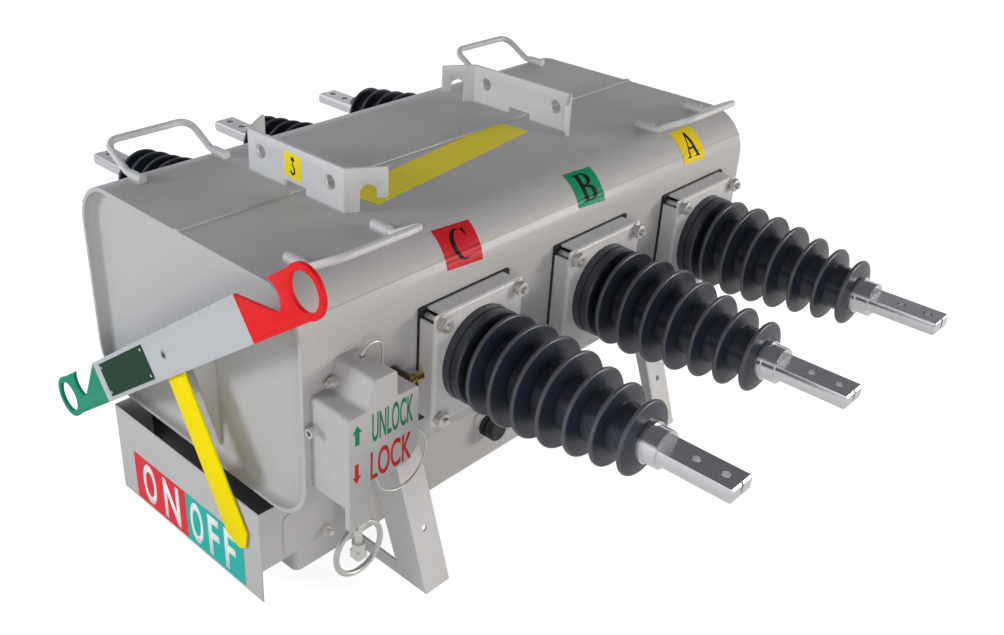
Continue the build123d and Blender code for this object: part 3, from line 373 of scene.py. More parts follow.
def make_bushing_rubber():
    finish = Finish("bushing_rubber", 0.32, specular=0.55)
    # The rims are mixed lighter: painted highlight, and some wear
    rim = maths(finish.tree, "MULTIPLY", shed_rim_mask(finish), rim_highlight_and_wear)
    ground = mix_colour(finish.tree, rim, rubber_blue_black, rim_highlight_and_wear_grey)
    tone = finish.group(surface_tone, colour=ground, slow=0.20, fine=0.10, fine_scale=45.0)
    dusted = finish.group(settled_dust, colour=tone["Colour"], dust=rubber_dust, amount=0.30)
    finish.colour(dusted["Colour"])
    finish.rough(tone["Mask"], 0.26, 0.36)
    finish.grain(scale=900.0, distance=0.00005, strength=0.4)
    return finish.material


# How often drawn, milled or even marks come per metre along X, Y and Z
drawn_marks = (40.0, 900.0, 900.0)
milled_marks = (900.0, 60.0, 900.0)
even_marks = (300.0, 300.0, 300.0)
mark_roughness = 0.14


def metal(name, colour, roughness, marks=drawn_marks, metallic=1.0):
    """Bare or plated metal with fine marks that also change its roughness."""
    finish = Finish(name, roughness, metallic=metallic)
    tone = finish.group(surface_tone, colour=colour, slow=0.10, fine=0.05, fine_scale=150.0)
    finish.colour(tone["Colour"])
    stretch = add_node(finish.tree, "ShaderNodeMapping")
    stretch.inputs["Scale"].default_value = marks
    link(finish.tree, finish.place, stretch.inputs["Vector"])
    height = noise(finish.tree, stretch.outputs["Vector"], 1.0)
    change = maths(finish.tree, "MULTIPLY", height, mark_roughness)
    rough = maths(finish.tree, "ADD", change, roughness - mark_roughness / 2)
    link(finish.tree, rough, finish.shader.inputs["Roughness"])
    finish.relief(height, distance=0.00004, strength=0.5)
    return finish.material


def moulded(name, colour, roughness=0.55):
    """Moulded rubber or resin with a little dust."""
    finish = Finish(name, roughness)
    tone = finish.group(surface_tone, colour=colour, slow=0.15, fine=0.10, fine_scale=120.0)
    finish.colour(finish.group(settled_dust, colour=tone["Colour"], amount=0.08)["Colour"])
    finish.grain(scale=1200.0, distance=0.00006, strength=0.5)
    return finish.material


def printed(name, colour, roughness=0.42):
    """Printed film or stencilled paint, thin and even."""
    finish = Finish(name, roughness, specular=0.10)
    tone = finish.group(surface_tone, colour=colour, slow=0.04, fine=0.03, fine_scale=200.0)
    finish.colour(tone["Colour"])
    finish.rough(tone["Mask"], roughness - 0.05, roughness + 0.05)
    return finish.material


def make_lever_paint():
    """Grey lever paint whose two ends are dipped red and green."""
    finish = Finish("lever_paint", 0.46, specular=0.12)
    tree = finish.tree
    axes = finish.axes()
    height = maths(tree, "SUBTRACT", axes["Z"], axis_z)
    level_part = maths(tree, "MULTIPLY", axes["Y"], cos(lever_tilt))
    upright_part = maths(tree, "MULTIPLY", height, sin(lever_tilt))
    wander = maths(tree, "MULTIPLY", noise(tree, finish.place, 120.0, detail=2.0), lever_paint_wander)
    along = maths(tree, "ADD", maths(tree, "SUBTRACT", level_part, upright_part), wander)
    is_green = maths(tree, "GREATER_THAN", along, lever_paint_start)
    is_red = maths(tree, "LESS_THAN", along, -lever_paint_start)
    one_end = mix_colour(tree, is_green, lever_grey, signal_green)
    both_ends = mix_colour(tree, is_red, one_end, signal_red)
    tone = finish.group(surface_tone, colour=both_ends, slow=0.05, fine=0.03, fine_scale=90.0)
    finish.colour(tone["Colour"])
    finish.rough(tone["Mask"], 0.42, 0.52)
    finish.grain(scale=300.0, distance=0.0001, strength=0.4)
    return finish.material


def make_dryer_cloth():
    finish = Finish("dryer_cloth", 0.85)
    weave = add_node(finish.tree, "ShaderNodeTexWave", wave_type="BANDS", bands_direction="DIAGONAL")
    weave.inputs["Scale"].default_value = 260.0
    link(finish.tree, finish.place, weave.inputs["Vector"])
    finish.colour(finish.group(surface_tone, colour=cloth_white, slow=0.1, fine=0.1)["Colour"])
    finish.relief(weave.outputs["Fac"], distance=0.0002)
    return finish.material


tank_paint = painted("tank_paint", tank_grey, roughness=0.44, dust=0.08, coat=0.18, specular=0.28)
# Lighter copy of the tank paint: painted light on brackets, stands, handles and cover plates
lit_sheet_paint = painted("lit_sheet_paint", lit_sheet_grey, roughness=0.42, dust=0.04, coat=0.25, specular=0.35)
fastener_zinc = metal("fastener_zinc", zinc_grey, 0.42, even_marks, metallic=0.70)
dryer_cloth = make_dryer_cloth()

slot_finishes = {
    "tank_paint": tank_paint,
    "bushing_rubber": make_bushing_rubber(),
    "terminal_metal": metal("terminal_metal", bright_metal, 0.22, milled_marks),
    "fastener_zinc": fastener_zinc,
    "shaft_steel": metal("shaft_steel", shaft_grey, 0.30),
    "bearing_bronze": metal("bearing_bronze", bronze_brown, 0.35),
    "contact_copper": metal("contact_copper", copper_red, 0.28),
    "contact_plastic": moulded("contact_resin", resin_brown, 0.45),
    "seal_rubber": moulded("seal_rubber", seal_black),
    "lever_paint": make_lever_paint(),
    "nameplate_green": printed("nameplate_enamel", plate_green, 0.48),
    "pointer_yellow": painted(
        "pointer_paint", pointer_yellow, roughness=0.50, dust=0.0, coat=0.0, specular=0.06
    ),
    "spring_steel": metal("spring_steel", spring_grey, 0.40),
    "dryer_cloth": dryer_cloth,
    "receptacle_black": moulded("receptacle_rubber", receptacle_black, 0.48),
    "ring_zinc": metal("ring_zinc", ring_grey, 0.42, even_marks, metallic=0.85),
    # The bracket's dark brown is painted shade
    "bracket_brown": painted("bracket_painted_shade", shaded_bracket_brown, roughness=0.45),
    "valve_brass": metal("valve_brass", brass_yellow, 0.32),
}
slot_of_node = {entry["node"]: entry["material_slot"] for entry in frame["record"]["subparts"]}
body_of_node = {
    node_name: body
    for body, members in frame["record"]["behaviour"]["bodies"].items()
    for node_name in members
}
# Brackets, stands, handles and cover plates, which get the lighter copy of the paint as painted light
painted_light_nodes = {
    node_name
    for node_name in frame["nodes"]
    if node_name.endswith(("hanger_bracket", "stand", "lifting_handle")) or "cover_plate" in node_name
}


def finish_of(node_name):
    """The material of a CAD node: its slot's own, or a lighter one where the photograph shows it: zinc for
    the lock rod, and a lighter copy of the paint, which is painted light, for brackets, stands, handles and
    cover plates.
    """
    if node_name in painted_light_nodes:
        return lit_sheet_paint
    if node_name == "lock_slider":
        return fastener_zinc
    return slot_finishes[slot_of_node[node_name]]


for node_name, node in frame["nodes"].items():
    node.data.materials.clear()
    node.data.materials.append(finish_of(node_name))


# Modelling helpers

# How X and Y of a piece run when it lies on the object's front or near side
front_across = (0, -1, 0)
near_across = (1, 0, 0)
upward = (0, 0, 1)


def deselect():
    if bpy.context.object and bpy.context.object.mode == "EDIT":
        bpy.ops.object.mode_set(mode="OBJECT")
    bpy.ops.object.select_all(action="DESELECT")


def select(piece):
    deselect()
    piece.select_set(True)
    bpy.context.view_layer.objects.active = piece


def edit_all():
    """Open the active piece in edit mode with all of it selected."""
    bpy.ops.object.mode_set(mode="EDIT")
    bpy.ops.mesh.select_all(action="SELECT")


def settle(piece):
    """Apply a piece's place, turn and size to its mesh."""
    select(piece)
    bpy.ops.object.transform_apply(location=True, rotation=True, scale=True)


def apply_modifiers(piece):
    select(piece)
    for modifier in list(piece.modifiers):
        bpy.ops.object.modifier_apply(modifier=modifier.name)
    return piece


def dress(piece, name, material, body="tank"):
    """Name a finished piece, give it its material and let it ride on its body."""
    piece.name = name
    piece.data.name = name
    piece.data.materials.clear()
    piece.data.materials.append(material)
    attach(piece, body)


def join(pieces):
    select(pieces[0])
    for piece in pieces:
        piece.select_set(True)
    bpy.ops.object.join()
    return pieces[0]


def placed_copy(piece, matrix):
    copy = bpy.data.objects.new(piece.name, piece.data.copy())
    bpy.context.collection.objects.link(copy)
    copy.data.transform(matrix)
    return copy


def mesh_limits(piece):
    corners = [vertex.co for vertex in piece.data.vertices]
    low = Vector(min(corner[axis] for corner in corners) for axis in range(3))
    high = Vector(max(corner[axis] for corner in corners) for axis in range(3))
    return low, high


def face_up(shape):
    """Merge a flat mesh's doubles and turn all its faces to +Z."""
    select(shape)
    edit_all()
    bpy.ops.mesh.remove_doubles(threshold=0.000005)
    bpy.ops.mesh.select_all(action="DESELECT")
    bpy.ops.object.mode_set(mode="OBJECT")
    for polygon in shape.data.polygons:
        polygon.select = polygon.normal.z < 0
    bpy.ops.object.mode_set(mode="EDIT")
    bpy.ops.mesh.flip_normals()
    bpy.ops.object.mode_set(mode="OBJECT")


def fit_flat(shape, width, height):
    """Centre a flat mesh in the XY plane and bring it to a width and height."""
    low, high = mesh_limits(shape)
    middle = (low + high) / 2
    across = width / (high.x - low.x)
    along = height / (high.y - low.y)
    for vertex in shape.data.vertices:
        vertex.co = ((vertex.co.x - middle.x) * across, (vertex.co.y - middle.y) * along, 0.0)
    face_up(shape)
    return shape


def flat_text(words, width, height, bold):
    """Lettering as a flat mesh, its strokes widened by a share of the font size."""
    deselect()
    bpy.ops.object.text_add(location=(0, 0, 0))
    text = bpy.context.object
    text.data.body = words
    text.data.offset = bold
    text.data.resolution_u = 6
    bpy.ops.object.convert(target="MESH")
    return fit_flat(bpy.context.object, width, height)


def flat_shape(outlines, width, height):
    """A flat mesh from closed outlines, the later ones cut out as holes."""
    curve = bpy.data.curves.new("outline", "CURVE")
    curve.dimensions = "2D"
    curve.fill_mode = "BOTH"
    for outline in outlines:
        spline = curve.splines.new("POLY")
        spline.points.add(len(outline) - 1)
        for point, (x, y) in zip(spline.points, outline):
            point.co = (x, y, 0.0, 1.0)
        spline.use_cyclic_u = True
    shape = bpy.data.objects.new("outline", curve)
    bpy.context.collection.objects.link(shape)
    select(shape)
    bpy.ops.object.convert(target="MESH")
    return fit_flat(bpy.context.object, width, height)


def arc_points(centre, radius_x, radius_y, start, end, count):
    """Points of an elliptical arc, its angles in degrees."""
    turns = [radians(start + (end - start) * index / count) for index in range(count + 1)]
    return [(centre[0] + radius_x * cos(turn), centre[1] + radius_y * sin(turn)) for turn in turns]


def thicken(sheet, thickness):
    """Give a sheet a thickness on the side that its faces look to."""
    solid = sheet.modifiers.new("sheet", "SOLIDIFY")
    solid.thickness = thickness
    solid.offset = 1.0
    solid.use_even_offset = False
    return apply_modifiers(sheet)


def thin_plate(width, height, thickness, corner=0.0):
    """A thin rectangle that stands on Z = 0, with round corners if it is given a radius."""
    deselect()
    bpy.ops.mesh.primitive_plane_add(size=1.0, location=(0, 0, 0))
    plate = bpy.context.object
    plate.scale = (width, height, 1.0)
    settle(plate)
    if corner > 0:
        edit_all()
        bpy.ops.mesh.bevel(offset=corner, segments=4, affect="VERTICES")
        bpy.ops.object.mode_set(mode="OBJECT")
    return thicken(plate, thickness)


def lay(piece, origin, across, up):
    """Put a piece drawn in XY onto a face: its X runs across and its Y runs up."""
    across = Vector(across).normalized()
    up = Vector(up).normalized()
    turn = Matrix((across, up, across.cross(up))).transposed().to_4x4()
    piece.data.transform(Matrix.Translation(Vector(origin)) @ turn)
    piece.data.update()


def round_edges(piece, width, angle):
    """Round the edges of a piece that turn by more than an angle."""
    edge = piece.modifiers.new("edges", "BEVEL")
    edge.width = width
    edge.segments = 2
    edge.limit_method = "ANGLE"
    edge.angle_limit = angle
    return apply_modifiers(piece)


# Stage, light and camera

def mix_shader(tree, factor, first, second):
    node = add_node(tree, "ShaderNodeMixShader")
    link(tree, factor, node.inputs["Fac"])
    link(tree, first, node.inputs[1])
    link(tree, second, node.inputs[2])
    return node.outputs["Shader"]


def make_stage():
    """A pale floor that looks white to the camera and keeps the object's shadow."""
    deselect()
    bpy.ops.mesh.primitive_circle_add(
        vertices=96, radius=floor_radius, fill_type="NGON", location=(0, 0, 0)
    )
    floor = bpy.context.object
    floor.name = "floor"
    material = bpy.data.materials.new("floor")
    material.use_nodes = True
    tree = material.node_tree
    shader = tree.nodes["Principled BSDF"]
    shader.inputs["Base Color"].default_value = (*floor_white, 1.0)
    shader.inputs["Roughness"].default_value = 0.9
    glow = add_node(tree, "ShaderNodeEmission")
    feed(tree, pure_white, glow.inputs["Color"])
    glow.inputs["Strength"].default_value = floor_glow
    total = add_node(tree, "ShaderNodeAddShader")
    link(tree, shader.outputs["BSDF"], total.inputs[0])
    link(tree, glow.outputs["Emission"], total.inputs[1])
    path = add_node(tree, "ShaderNodeLightPath")
    mirrored = maths(tree, "MULTIPLY", path.outputs["Is Glossy Ray"], floor_mirror_share)
    seen = maths(tree, "MAXIMUM", path.outputs["Is Camera Ray"], mirrored)
    surface = mix_shader(tree, seen, shader.outputs["BSDF"], total.outputs["Shader"])
    link(tree, surface, tree.nodes["Material Output"].inputs["Surface"])
    floor.data.materials.append(material)


def make_world():
    """Pale studio walls under a darker ceiling, and plain white for the camera."""
    world = bpy.data.worlds.new("studio")
    bpy.context.scene.world = world
    world.use_nodes = True
    tree = world.node_tree
    direction = add_node(tree, "ShaderNodeTexCoord").outputs["Generated"]
    walls = spread(tree, split_axes(tree, direction)["Z"], ceiling_start, ceiling_end, 1.0, 0.0)
    room = tree.nodes["Background"]
    mirror = add_node(tree, "ShaderNodeBackground")
    white = add_node(tree, "ShaderNodeBackground")
    for background, colour, strength in (
        (room, mix_colour(tree, walls, ceiling_colour, wall_colour), room_strength),
        (mirror, mix_colour(tree, walls, ceiling_mirror, wall_mirror), 1.0),
        (white, pure_white, 1.0),
    ):
        feed(tree, colour, background.inputs["Color"])
        background.inputs["Strength"].default_value = strength
    path = add_node(tree, "ShaderNodeLightPath").outputs
    reflected = maths(tree, "MAXIMUM", path["Is Glossy Ray"], path["Is Transmission Ray"])
    lit = mix_shader(tree, reflected, room.outputs["Background"], mirror.outputs["Background"])
    seen = mix_shader(tree, path["Is Camera Ray"], lit, white.outputs["Background"])
    link(tree, seen, tree.nodes["World Output"].inputs["Surface"])


def make_lamp(name, place, target, size, power, colour, mirrored=False):
    """A soft lamp that points at a target, and that metal mirrors only if asked."""
    lamp = bpy.data.lights.new(name, "AREA")
    lamp.shape = "RECTANGLE"
    lamp.size, lamp.size_y = size
    lamp.energy = power
    lamp.color = colour
    holder = bpy.data.objects.new(name, lamp)
    bpy.context.collection.objects.link(holder)
    holder.location = place
    direction = Vector(target) - Vector(place)
    holder.rotation_euler = direction.to_track_quat("-Z", "Y").to_euler()
    holder.visible_glossy = mirrored


def make_camera():
    """A camera whose lens is shifted, because its optical centre isn't the picture's middle."""
    forward = Vector((
        sin(camera_yaw) * cos(camera_pitch), cos(camera_yaw) * cos(camera_pitch), -sin(camera_pitch),
    ))
    level = Vector((cos(camera_yaw), -sin(camera_yaw), 0.0))
    upright = level.cross(forward)
    right = level * cos(camera_roll) + upright * sin(camera_roll)
    up = upright * cos(camera_roll) - level * sin(camera_roll)
    data = bpy.data.cameras.new("camera")
    data.sensor_width = sensor_width
    data.lens = focal_pixels / photo_width * sensor_width
    data.shift_x = (photo_width / 2 - optical_centre_x) / photo_width
    data.shift_y = -(photo_height / 2 - optical_centre_y) / photo_width
    data.clip_start = 0.05
    data.clip_end = 60.0
    camera = bpy.data.objects.new("camera", data)
    bpy.context.collection.objects.link(camera)
    turn = Matrix((right, up, -forward)).transposed().to_4x4()
    camera.matrix_world = Matrix.Translation(camera_place) @ turn
    bpy.context.scene.camera = camera


make_stage()
make_world()
make_lamp("side_key", place=(2.6, -3.0, 1.3), target=(0.0, -0.2, 0.4), size=(1.2, 1.2), power=62.0,
          colour=warm_light, mirrored=True)
make_lamp("side_fill", place=(-2.2, -3.2, 1.0), target=(0.0, -0.2, 0.4), size=(1.8, 1.4), power=36.0,
          colour=soft_warm_light)
make_lamp("front_key", place=(-3.3, 1.7, 1.4), target=(-0.4, 0.0, 0.4), size=(1.2, 1.2), power=62.0,
          colour=cool_light)
make_lamp("low_fill", place=(-2.8, -1.2, 0.15), target=(-0.3, 0.0, 0.05), size=(1.0, 0.2), power=5.0,
          colour=pure_white)
make_lamp("far_fill", place=(1.6, 3.4, 1.8), target=(0.0, 0.0, 0.4), size=(2.0, 1.6), power=22.0,
          colour=pure_white)
make_camera()
bpy.context.scene.view_settings.view_transform = "Standard"


# Prints and films

film_roughness = 0.30
film_thickness = 0.0004
print_thickness = 0.0003
white_print = printed("white_print", letter_white)
black_print = printed("black_print", letter_black)
red_print = printed("red_print", letter_red)
green_print = printed("green_print", letter_green)
strip_film = printed("strip_film", strip_yellow, film_roughness)
label_films = {
    "c": printed("red_film", label_red, film_roughness),
    "b": printed("green_film", label_green, film_roughness),
    "a": printed("yellow_film", label_yellow, film_roughness),
}


# Sign tray: ON and OFF fields

sign_low_z = 0.040
sign_high_z = 0.136
sign_width = {"on": 0.153, "off": 0.156}
sign_letter_height = 0.86
sign_letter_bold = 0.022

# Each letter with its middle and its width, as shares of its field's width
sign_letters = {
    "on": (("O", 0.285, 0.255), ("N", 0.715, 0.300)),
    "off": (("O", 0.180, 0.225), ("F", 0.485, 0.185), ("F", 0.765, 0.185)),
}


def make_signs():
    """Two fields side by side that meet in the middle of the tray, with their letters."""
    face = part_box("indicator_tray")[0].x
    height = sign_high_z - sign_low_z
    middle_z = (sign_low_z + sign_high_z) / 2
    for label, film, start in (("on", sign_red, sign_width["on"]), ("off", sign_teal, 0.0)):
        width = sign_width[label]
        field = thin_plate(width, height, film_thickness)
        lay(field, (face, start - width / 2, middle_z), front_across, upward)
        dress(field, f"sign_field_{label}", printed(f"sign_{label}", film))
        letters = []
        for letter, place, share in sign_letters[label]:
            shape = flat_text(letter, share * width, sign_letter_height * height, sign_letter_bold)
            thicken(shape, print_thickness)
            lay(shape, (face - film_thickness, start - place * width, middle_z), front_across, upward)
            letters.append(shape)
        dress(join(letters), f"sign_letters_{label}", white_print)


# Lock cover: its two words and two arrows

cover_letter_bold = 0.012
arrow_outline = [
    (-0.22, -0.5), (0.22, -0.5), (0.22, 0.14), (0.5, 0.10), (0.0, 0.5), (-0.5, 0.10), (-0.22, 0.14),
]

# The middle of each print in X and Z, its width and height, and which way up an arrow points
cover_words = (
    ("UNLOCK", "unlock_letters", -0.4365, 0.4110, 0.077, 0.047, green_print),
    ("LOCK", "lock_letters", -0.4390, 0.3480, 0.078, 0.048, red_print),
)
cover_arrows = (
    ("unlock_arrow", -0.5020, 0.4120, 0.017, 0.032, 1, green_print),
    ("lock_arrow", -0.5035, 0.3485, 0.016, 0.033, -1, red_print),
)


def make_cover_print():
    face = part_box("interlock_cover")[0].y
    prints = []
    for word, name, x, z, width, height, ink in cover_words:
        prints.append((flat_text(word, width, height, cover_letter_bold), name, x, z, ink))
    for name, x, z, width, height, way, ink in cover_arrows:
        outline = [(across, up * way) for across, up in arrow_outline]
        prints.append((flat_shape([outline], width, height), name, x, z, ink))
    for shape, name, x, z, ink in prints:
        thicken(shape, print_thickness)
        lay(shape, (x, face, z), near_across, upward)
        dress(shape, name, ink)


# Phase labels on the near shoulder of the tank

label_outline = [(-0.5, -0.5), (0.5, -0.5), (0.5, 0.5), (-0.5, 0.5)]
letter_outlines = {
    "a": [
        [(-0.04, 0.5), (0.08, 0.5), (0.33, -0.45), (0.42, -0.47), (0.42, -0.5), (0.07, -0.5),
         (0.07, -0.47), (0.16, -0.45), (0.10, -0.2), (-0.18, -0.2), (-0.24, -0.45), (-0.15, -0.47),
         (-0.15, -0.5), (-0.43, -0.5), (-0.43, -0.47), (-0.33, -0.45)],
        [(-0.155, -0.12), (0.085, -0.12), (-0.03, 0.34)],
    ],
    "b": [
        [(-0.38, 0.5), *arc_points((0.0, 0.26), 0.30, 0.24, 90, -70, 10),
         *arc_points((0.03, -0.23), 0.34, 0.27, 70, -90, 10), (-0.38, -0.5), (-0.38, -0.465),
         (-0.28, -0.44), (-0.28, 0.44), (-0.38, 0.465)],
        [(-0.10, 0.45), *arc_points((-0.02, 0.26), 0.13, 0.19, 90, -90, 8), (-0.10, 0.07)],
        [(-0.10, -0.03), *arc_points((-0.02, -0.24), 0.17, 0.21, 90, -90, 8), (-0.10, -0.45)],
    ],
    "c": [
        [*arc_points((0.02, 0.0), 0.42, 0.5, 58, 302, 22), *arc_points((0.10, 0.0), 0.30, 0.45, 300, 60, 22),
         (0.33, 0.20), (0.37, 0.20), (0.37, 0.49), (0.33, 0.49)],
    ],
}

# Each label's X, its way down the tank's section, width, height and turn in degrees, and its
# letter's width
phase_labels = {
    "c": (-0.2078, 0.2714, 0.076, 0.066, 4.0, 0.036),
    "b": (0.1030, 0.2650, 0.069, 0.065, 3.5, 0.040),
    "a": (0.4117, 0.2668, 0.066, 0.068, 3.0, 0.040),
}
phase_letter_height = 0.050
label_gap = 0.0001
label_slices = 44

# Ways along the tank's section from the middle of its top, and the weld seam on the shoulder
flat_half_width = tank_half_width - tank_corner
quarter_turn = tank_corner * pi / 2
seam_angle = radians(62.0)
seam_along = flat_half_width + tank_corner * seam_angle
seam_half_width = 0.0026
seam_slope = 0.0030
seam_rise = 0.0011


def seam_lift(along):
    """How far a film is lifted where it runs over the seam on the tank's shoulder."""
    past = max(0.0, abs(along - seam_along) - seam_half_width)
    return seam_rise * max(0.0, 1.0 - past / seam_slope)


def tank_point(x, along, lift):
    """A point on the tank's near side, along its section from the middle of the top."""
    corner_z = tank_top - tank_corner
    lift += seam_lift(along)
    if along <= flat_half_width:
        return Vector((x, -along, tank_top + lift))
    if along <= flat_half_width + quarter_turn:
        turn = (along - flat_half_width) / tank_corner
        radius = tank_corner + lift
        return Vector((x, -flat_half_width - radius * sin(turn), corner_z + radius * cos(turn)))
    return Vector((x, -tank_half_width - lift, corner_z - (along - flat_half_width - quarter_turn)))


def wrap_on_tank(sheet, x, along, turn, lift, thickness):
    """Slice a flat sheet, bend it over the tank's shoulder and give it a thickness."""
    select(sheet)
    low, high = mesh_limits(sheet)
    bpy.ops.object.mode_set(mode="EDIT")
    for index in range(1, label_slices):
        height = low.y + (high.y - low.y) * index / label_slices
        bpy.ops.mesh.select_all(action="SELECT")
        bpy.ops.mesh.bisect(plane_co=(0, height, 0), plane_no=(0, 1, 0))
    bpy.ops.object.mode_set(mode="OBJECT")
    rotation = Matrix.Rotation(radians(turn), 3, "Z")
    for vertex in sheet.data.vertices:
        place = rotation @ vertex.co
        vertex.co = tank_point(x + place.x, along - place.y, lift)
    thicken(sheet, thickness)


def make_phase_labels():
    for phase, (x, along, width, height, turn, letter_width) in phase_labels.items():
        label = flat_shape([label_outline], width, height)
        wrap_on_tank(label, x, along, -turn, label_gap, film_thickness)
        dress(label, f"phase_label_{phase}", label_films[phase])
        letter = flat_shape(letter_outlines[phase], letter_width, phase_letter_height)
        wrap_on_tank(letter, x, along, -turn, film_thickness, print_thickness)
        dress(letter, f"phase_letter_{phase}", black_print)


# Black sheet behind the sign tray, which is painted shade

shade_sheet_low_z = 0.112
shade_sheet_margin = 0.002
shade_sheet_thickness = 0.0008


def make_tray_shade_sheet():
    """A thin black sheet on the box's front: painted shade, so that the tray is dark behind its sign."""
    box_low, box_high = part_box("lower_box")
    width = box_high.y - box_low.y - 2 * shade_sheet_margin
    top = box_high.z - shade_sheet_margin
    shade_sheet = thin_plate(width, top - shade_sheet_low_z, shade_sheet_thickness)
    place = Vector((box_low.x, (box_low.y + box_high.y) / 2, (top + shade_sheet_low_z) / 2))
    lay(shade_sheet, place, front_across, upward)
    # The black sheet stands in for the shade inside the tray
    dress(shade_sheet, "tray_painted_shade", moulded("shade_sheet", shade_sheet_black))


# Split pin in front of the lock rod, under the cover

pin_radius = 0.0011
pin_height = 0.0740
pin_front = 0.0066

# Points along the wire: how far each lies to one side of the rod and above the pin's height
pin_path = (
    (-0.0130, -0.0035), (-0.0090, 0.0005), (-0.0030, 0.0033),
    (0.0030, 0.0028), (0.0070, 0.0012), (0.0150, 0.0042),
)


def make_split_pin():
    """A bent wire in front of the rod, just under the cover's leg."""
    ring_low, ring_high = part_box("pull_ring")
    centre = (ring_low + ring_high) / 2
    centre.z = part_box("lock_slider")[0].z + pin_height
    curve = bpy.data.curves.new("split_pin", "CURVE")
    curve.dimensions = "3D"
    curve.bevel_depth = pin_radius
    curve.bevel_resolution = 3
    curve.use_fill_caps = True
    spline = curve.splines.new("NURBS")
    spline.points.add(len(pin_path) - 1)
    for point, (x, z) in zip(spline.points, pin_path):
        point.co = (*(centre + Vector((x, -pin_front, z))), 1.0)
    spline.order_u = 3
    spline.use_endpoint_u = True
    pin = bpy.data.objects.new("split_pin", curve)
    bpy.context.collection.objects.link(pin)
    select(pin)
    bpy.ops.object.convert(target="MESH")
    bpy.ops.object.shade_smooth()
    pin_steel = metal("pin_steel", pin_grey, 0.45)
    dress(bpy.context.object, "split_pin", pin_steel, "lock_slider")


# Plain yellow strip on top of the tank and small label on the front hanger

strip_start = Vector((0.1748, -0.030, 0.0))
strip_end = Vector((-0.2532, -0.090, 0.0))
strip_width = 0.072
hanger_label_y = 0.003
hanger_label_z = 0.636
hanger_label_side = 0.040
hanger_label_corner = 0.001
hanger_mark_width = 0.013
hanger_mark_height = 0.030
hook_outline = [
    *arc_points((0.0, 0.36), 0.11, 0.12, 20, 270, 8), (0.02, 0.12), (0.10, 0.0),
    *arc_points((0.0, -0.22), 0.20, 0.24, 60, -170, 14), (-0.12, -0.24),
    *arc_points((0.0, -0.22), 0.09, 0.13, -170, 60, 10), (0.0, 0.02), (-0.06, 0.12), (0.06, 0.24),
    (0.16, 0.30),
]


def make_yellow_strip():
    run = strip_end - strip_start
    middle = (strip_start + strip_end) / 2
    direction = -run.normalized()
    strip = thin_plate(run.length, strip_width, film_thickness)
    lay(strip, (middle.x, middle.y, tank_top), direction, Vector(upward).cross(direction))
    dress(strip, "yellow_strip", strip_film)


def make_hanger_label():
    place = Vector((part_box("front_hanger_bracket")[0].x, hanger_label_y, hanger_label_z))
    label = thin_plate(hanger_label_side, hanger_label_side, film_thickness, hanger_label_corner)
    lay(label, place, front_across, upward)
    dress(label, "hanger_label", strip_film)
    mark = thicken(flat_shape([hook_outline], hanger_mark_width, hanger_mark_height), print_thickness)
    lay(mark, place - Vector((film_thickness, 0, 0)), front_across, upward)
    dress(mark, "hanger_mark", black_print)


# Rounded edges on the sheet and bar pieces

edge_rounds = {
    "operating_lever": 0.0010,
    "position_pointer": 0.0006,
    "front_hanger_bracket": 0.0012,
    "rear_hanger_bracket": 0.0012,
    "front_stand": 0.0010,
    "rear_stand": 0.0010,
    "shaft_support": 0.0008,
    "interlock_cover": 0.0012,
    "indicator_tray": 0.0005,
}
sheet_flat_angle = radians(0.6)
sheet_edge_angle = radians(28.0)
sheet_smooth_angle = radians(35.0)


def soften(node_name, width):
    """A copy of a CAD node with its sharp edges rounded, shown in the node's place."""
    mesh = frame["nodes"][node_name].data.copy()
    piece = bpy.data.objects.new(f"{node_name}_rounded", mesh)
    bpy.context.collection.objects.link(piece)
    select(piece)
    edit_all()
    bpy.ops.mesh.remove_doubles(threshold=0.00001)
    bpy.ops.mesh.dissolve_limited(angle_limit=sheet_flat_angle)
    bpy.ops.object.mode_set(mode="OBJECT")
    round_edges(piece, width, sheet_edge_angle)
    bpy.ops.object.shade_smooth_by_angle(angle=sheet_smooth_angle)
    dress(piece, f"{node_name}_rounded", finish_of(node_name), body_of_node[node_name])
    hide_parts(node_name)


# Studs, washers and nuts around the bushings, their heights counted from the cover plate

stud_offset = 0.0828
stud_radius = 0.006
stud_sides = 14
thread_pitch = 0.00175
thread_depth_share = 0.90
stud_tip_share = 0.84
stud_tip_pitches = 0.6
washer_radius = 0.0130
washer_top = 0.0022
washer_round = 0.0004
spring_washer_radius = 0.0102
spring_washer_top = 0.0038
spring_washer_round = 0.0003
washer_edge_angle = radians(50.0)
nut_width = 0.022
nut_top = 0.0125
nut_corner_cut = 0.0016
nut_round = 0.0003
nut_edge_angle = radians(20.0)
nut_turn = radians(17.0)
phase_turn = radians(29.0)
fastener_smooth_angle = radians(30.0)
cover_plate_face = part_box("near_cover_plate_b")[0].y
stud_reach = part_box("bushing_studs")[1].y + cover_plate_face


def threaded_rod(radius, start, end, thread_start, pitch):
    """A rod along Z whose upper end has rolled thread rings and a small chamfer."""
    deselect()
    bpy.ops.mesh.primitive_circle_add(
        vertices=stud_sides, radius=radius, fill_type="NGON", location=(0, 0, start)
    )
    rod = bpy.context.object
    settle(rod)
    edit_all()

    def rise(height, scale=1.0):
        bpy.ops.mesh.extrude_region_move(TRANSFORM_OT_translate={"value": (0, 0, height)})
        if scale != 1.0:
            bpy.ops.transform.resize(value=(scale, scale, 1.0))

    rise(thread_start - start)
    rings = int((end - thread_start) / pitch - stud_tip_pitches)
    for _ in range(rings):
        rise(pitch / 2, thread_depth_share)
        rise(pitch / 2, 1 / thread_depth_share)
    rise(end - thread_start - rings * pitch, stud_tip_share)
    bpy.ops.mesh.select_all(action="SELECT")
    bpy.ops.mesh.normals_make_consistent(inside=False)
    bpy.ops.object.mode_set(mode="OBJECT")
    return rod


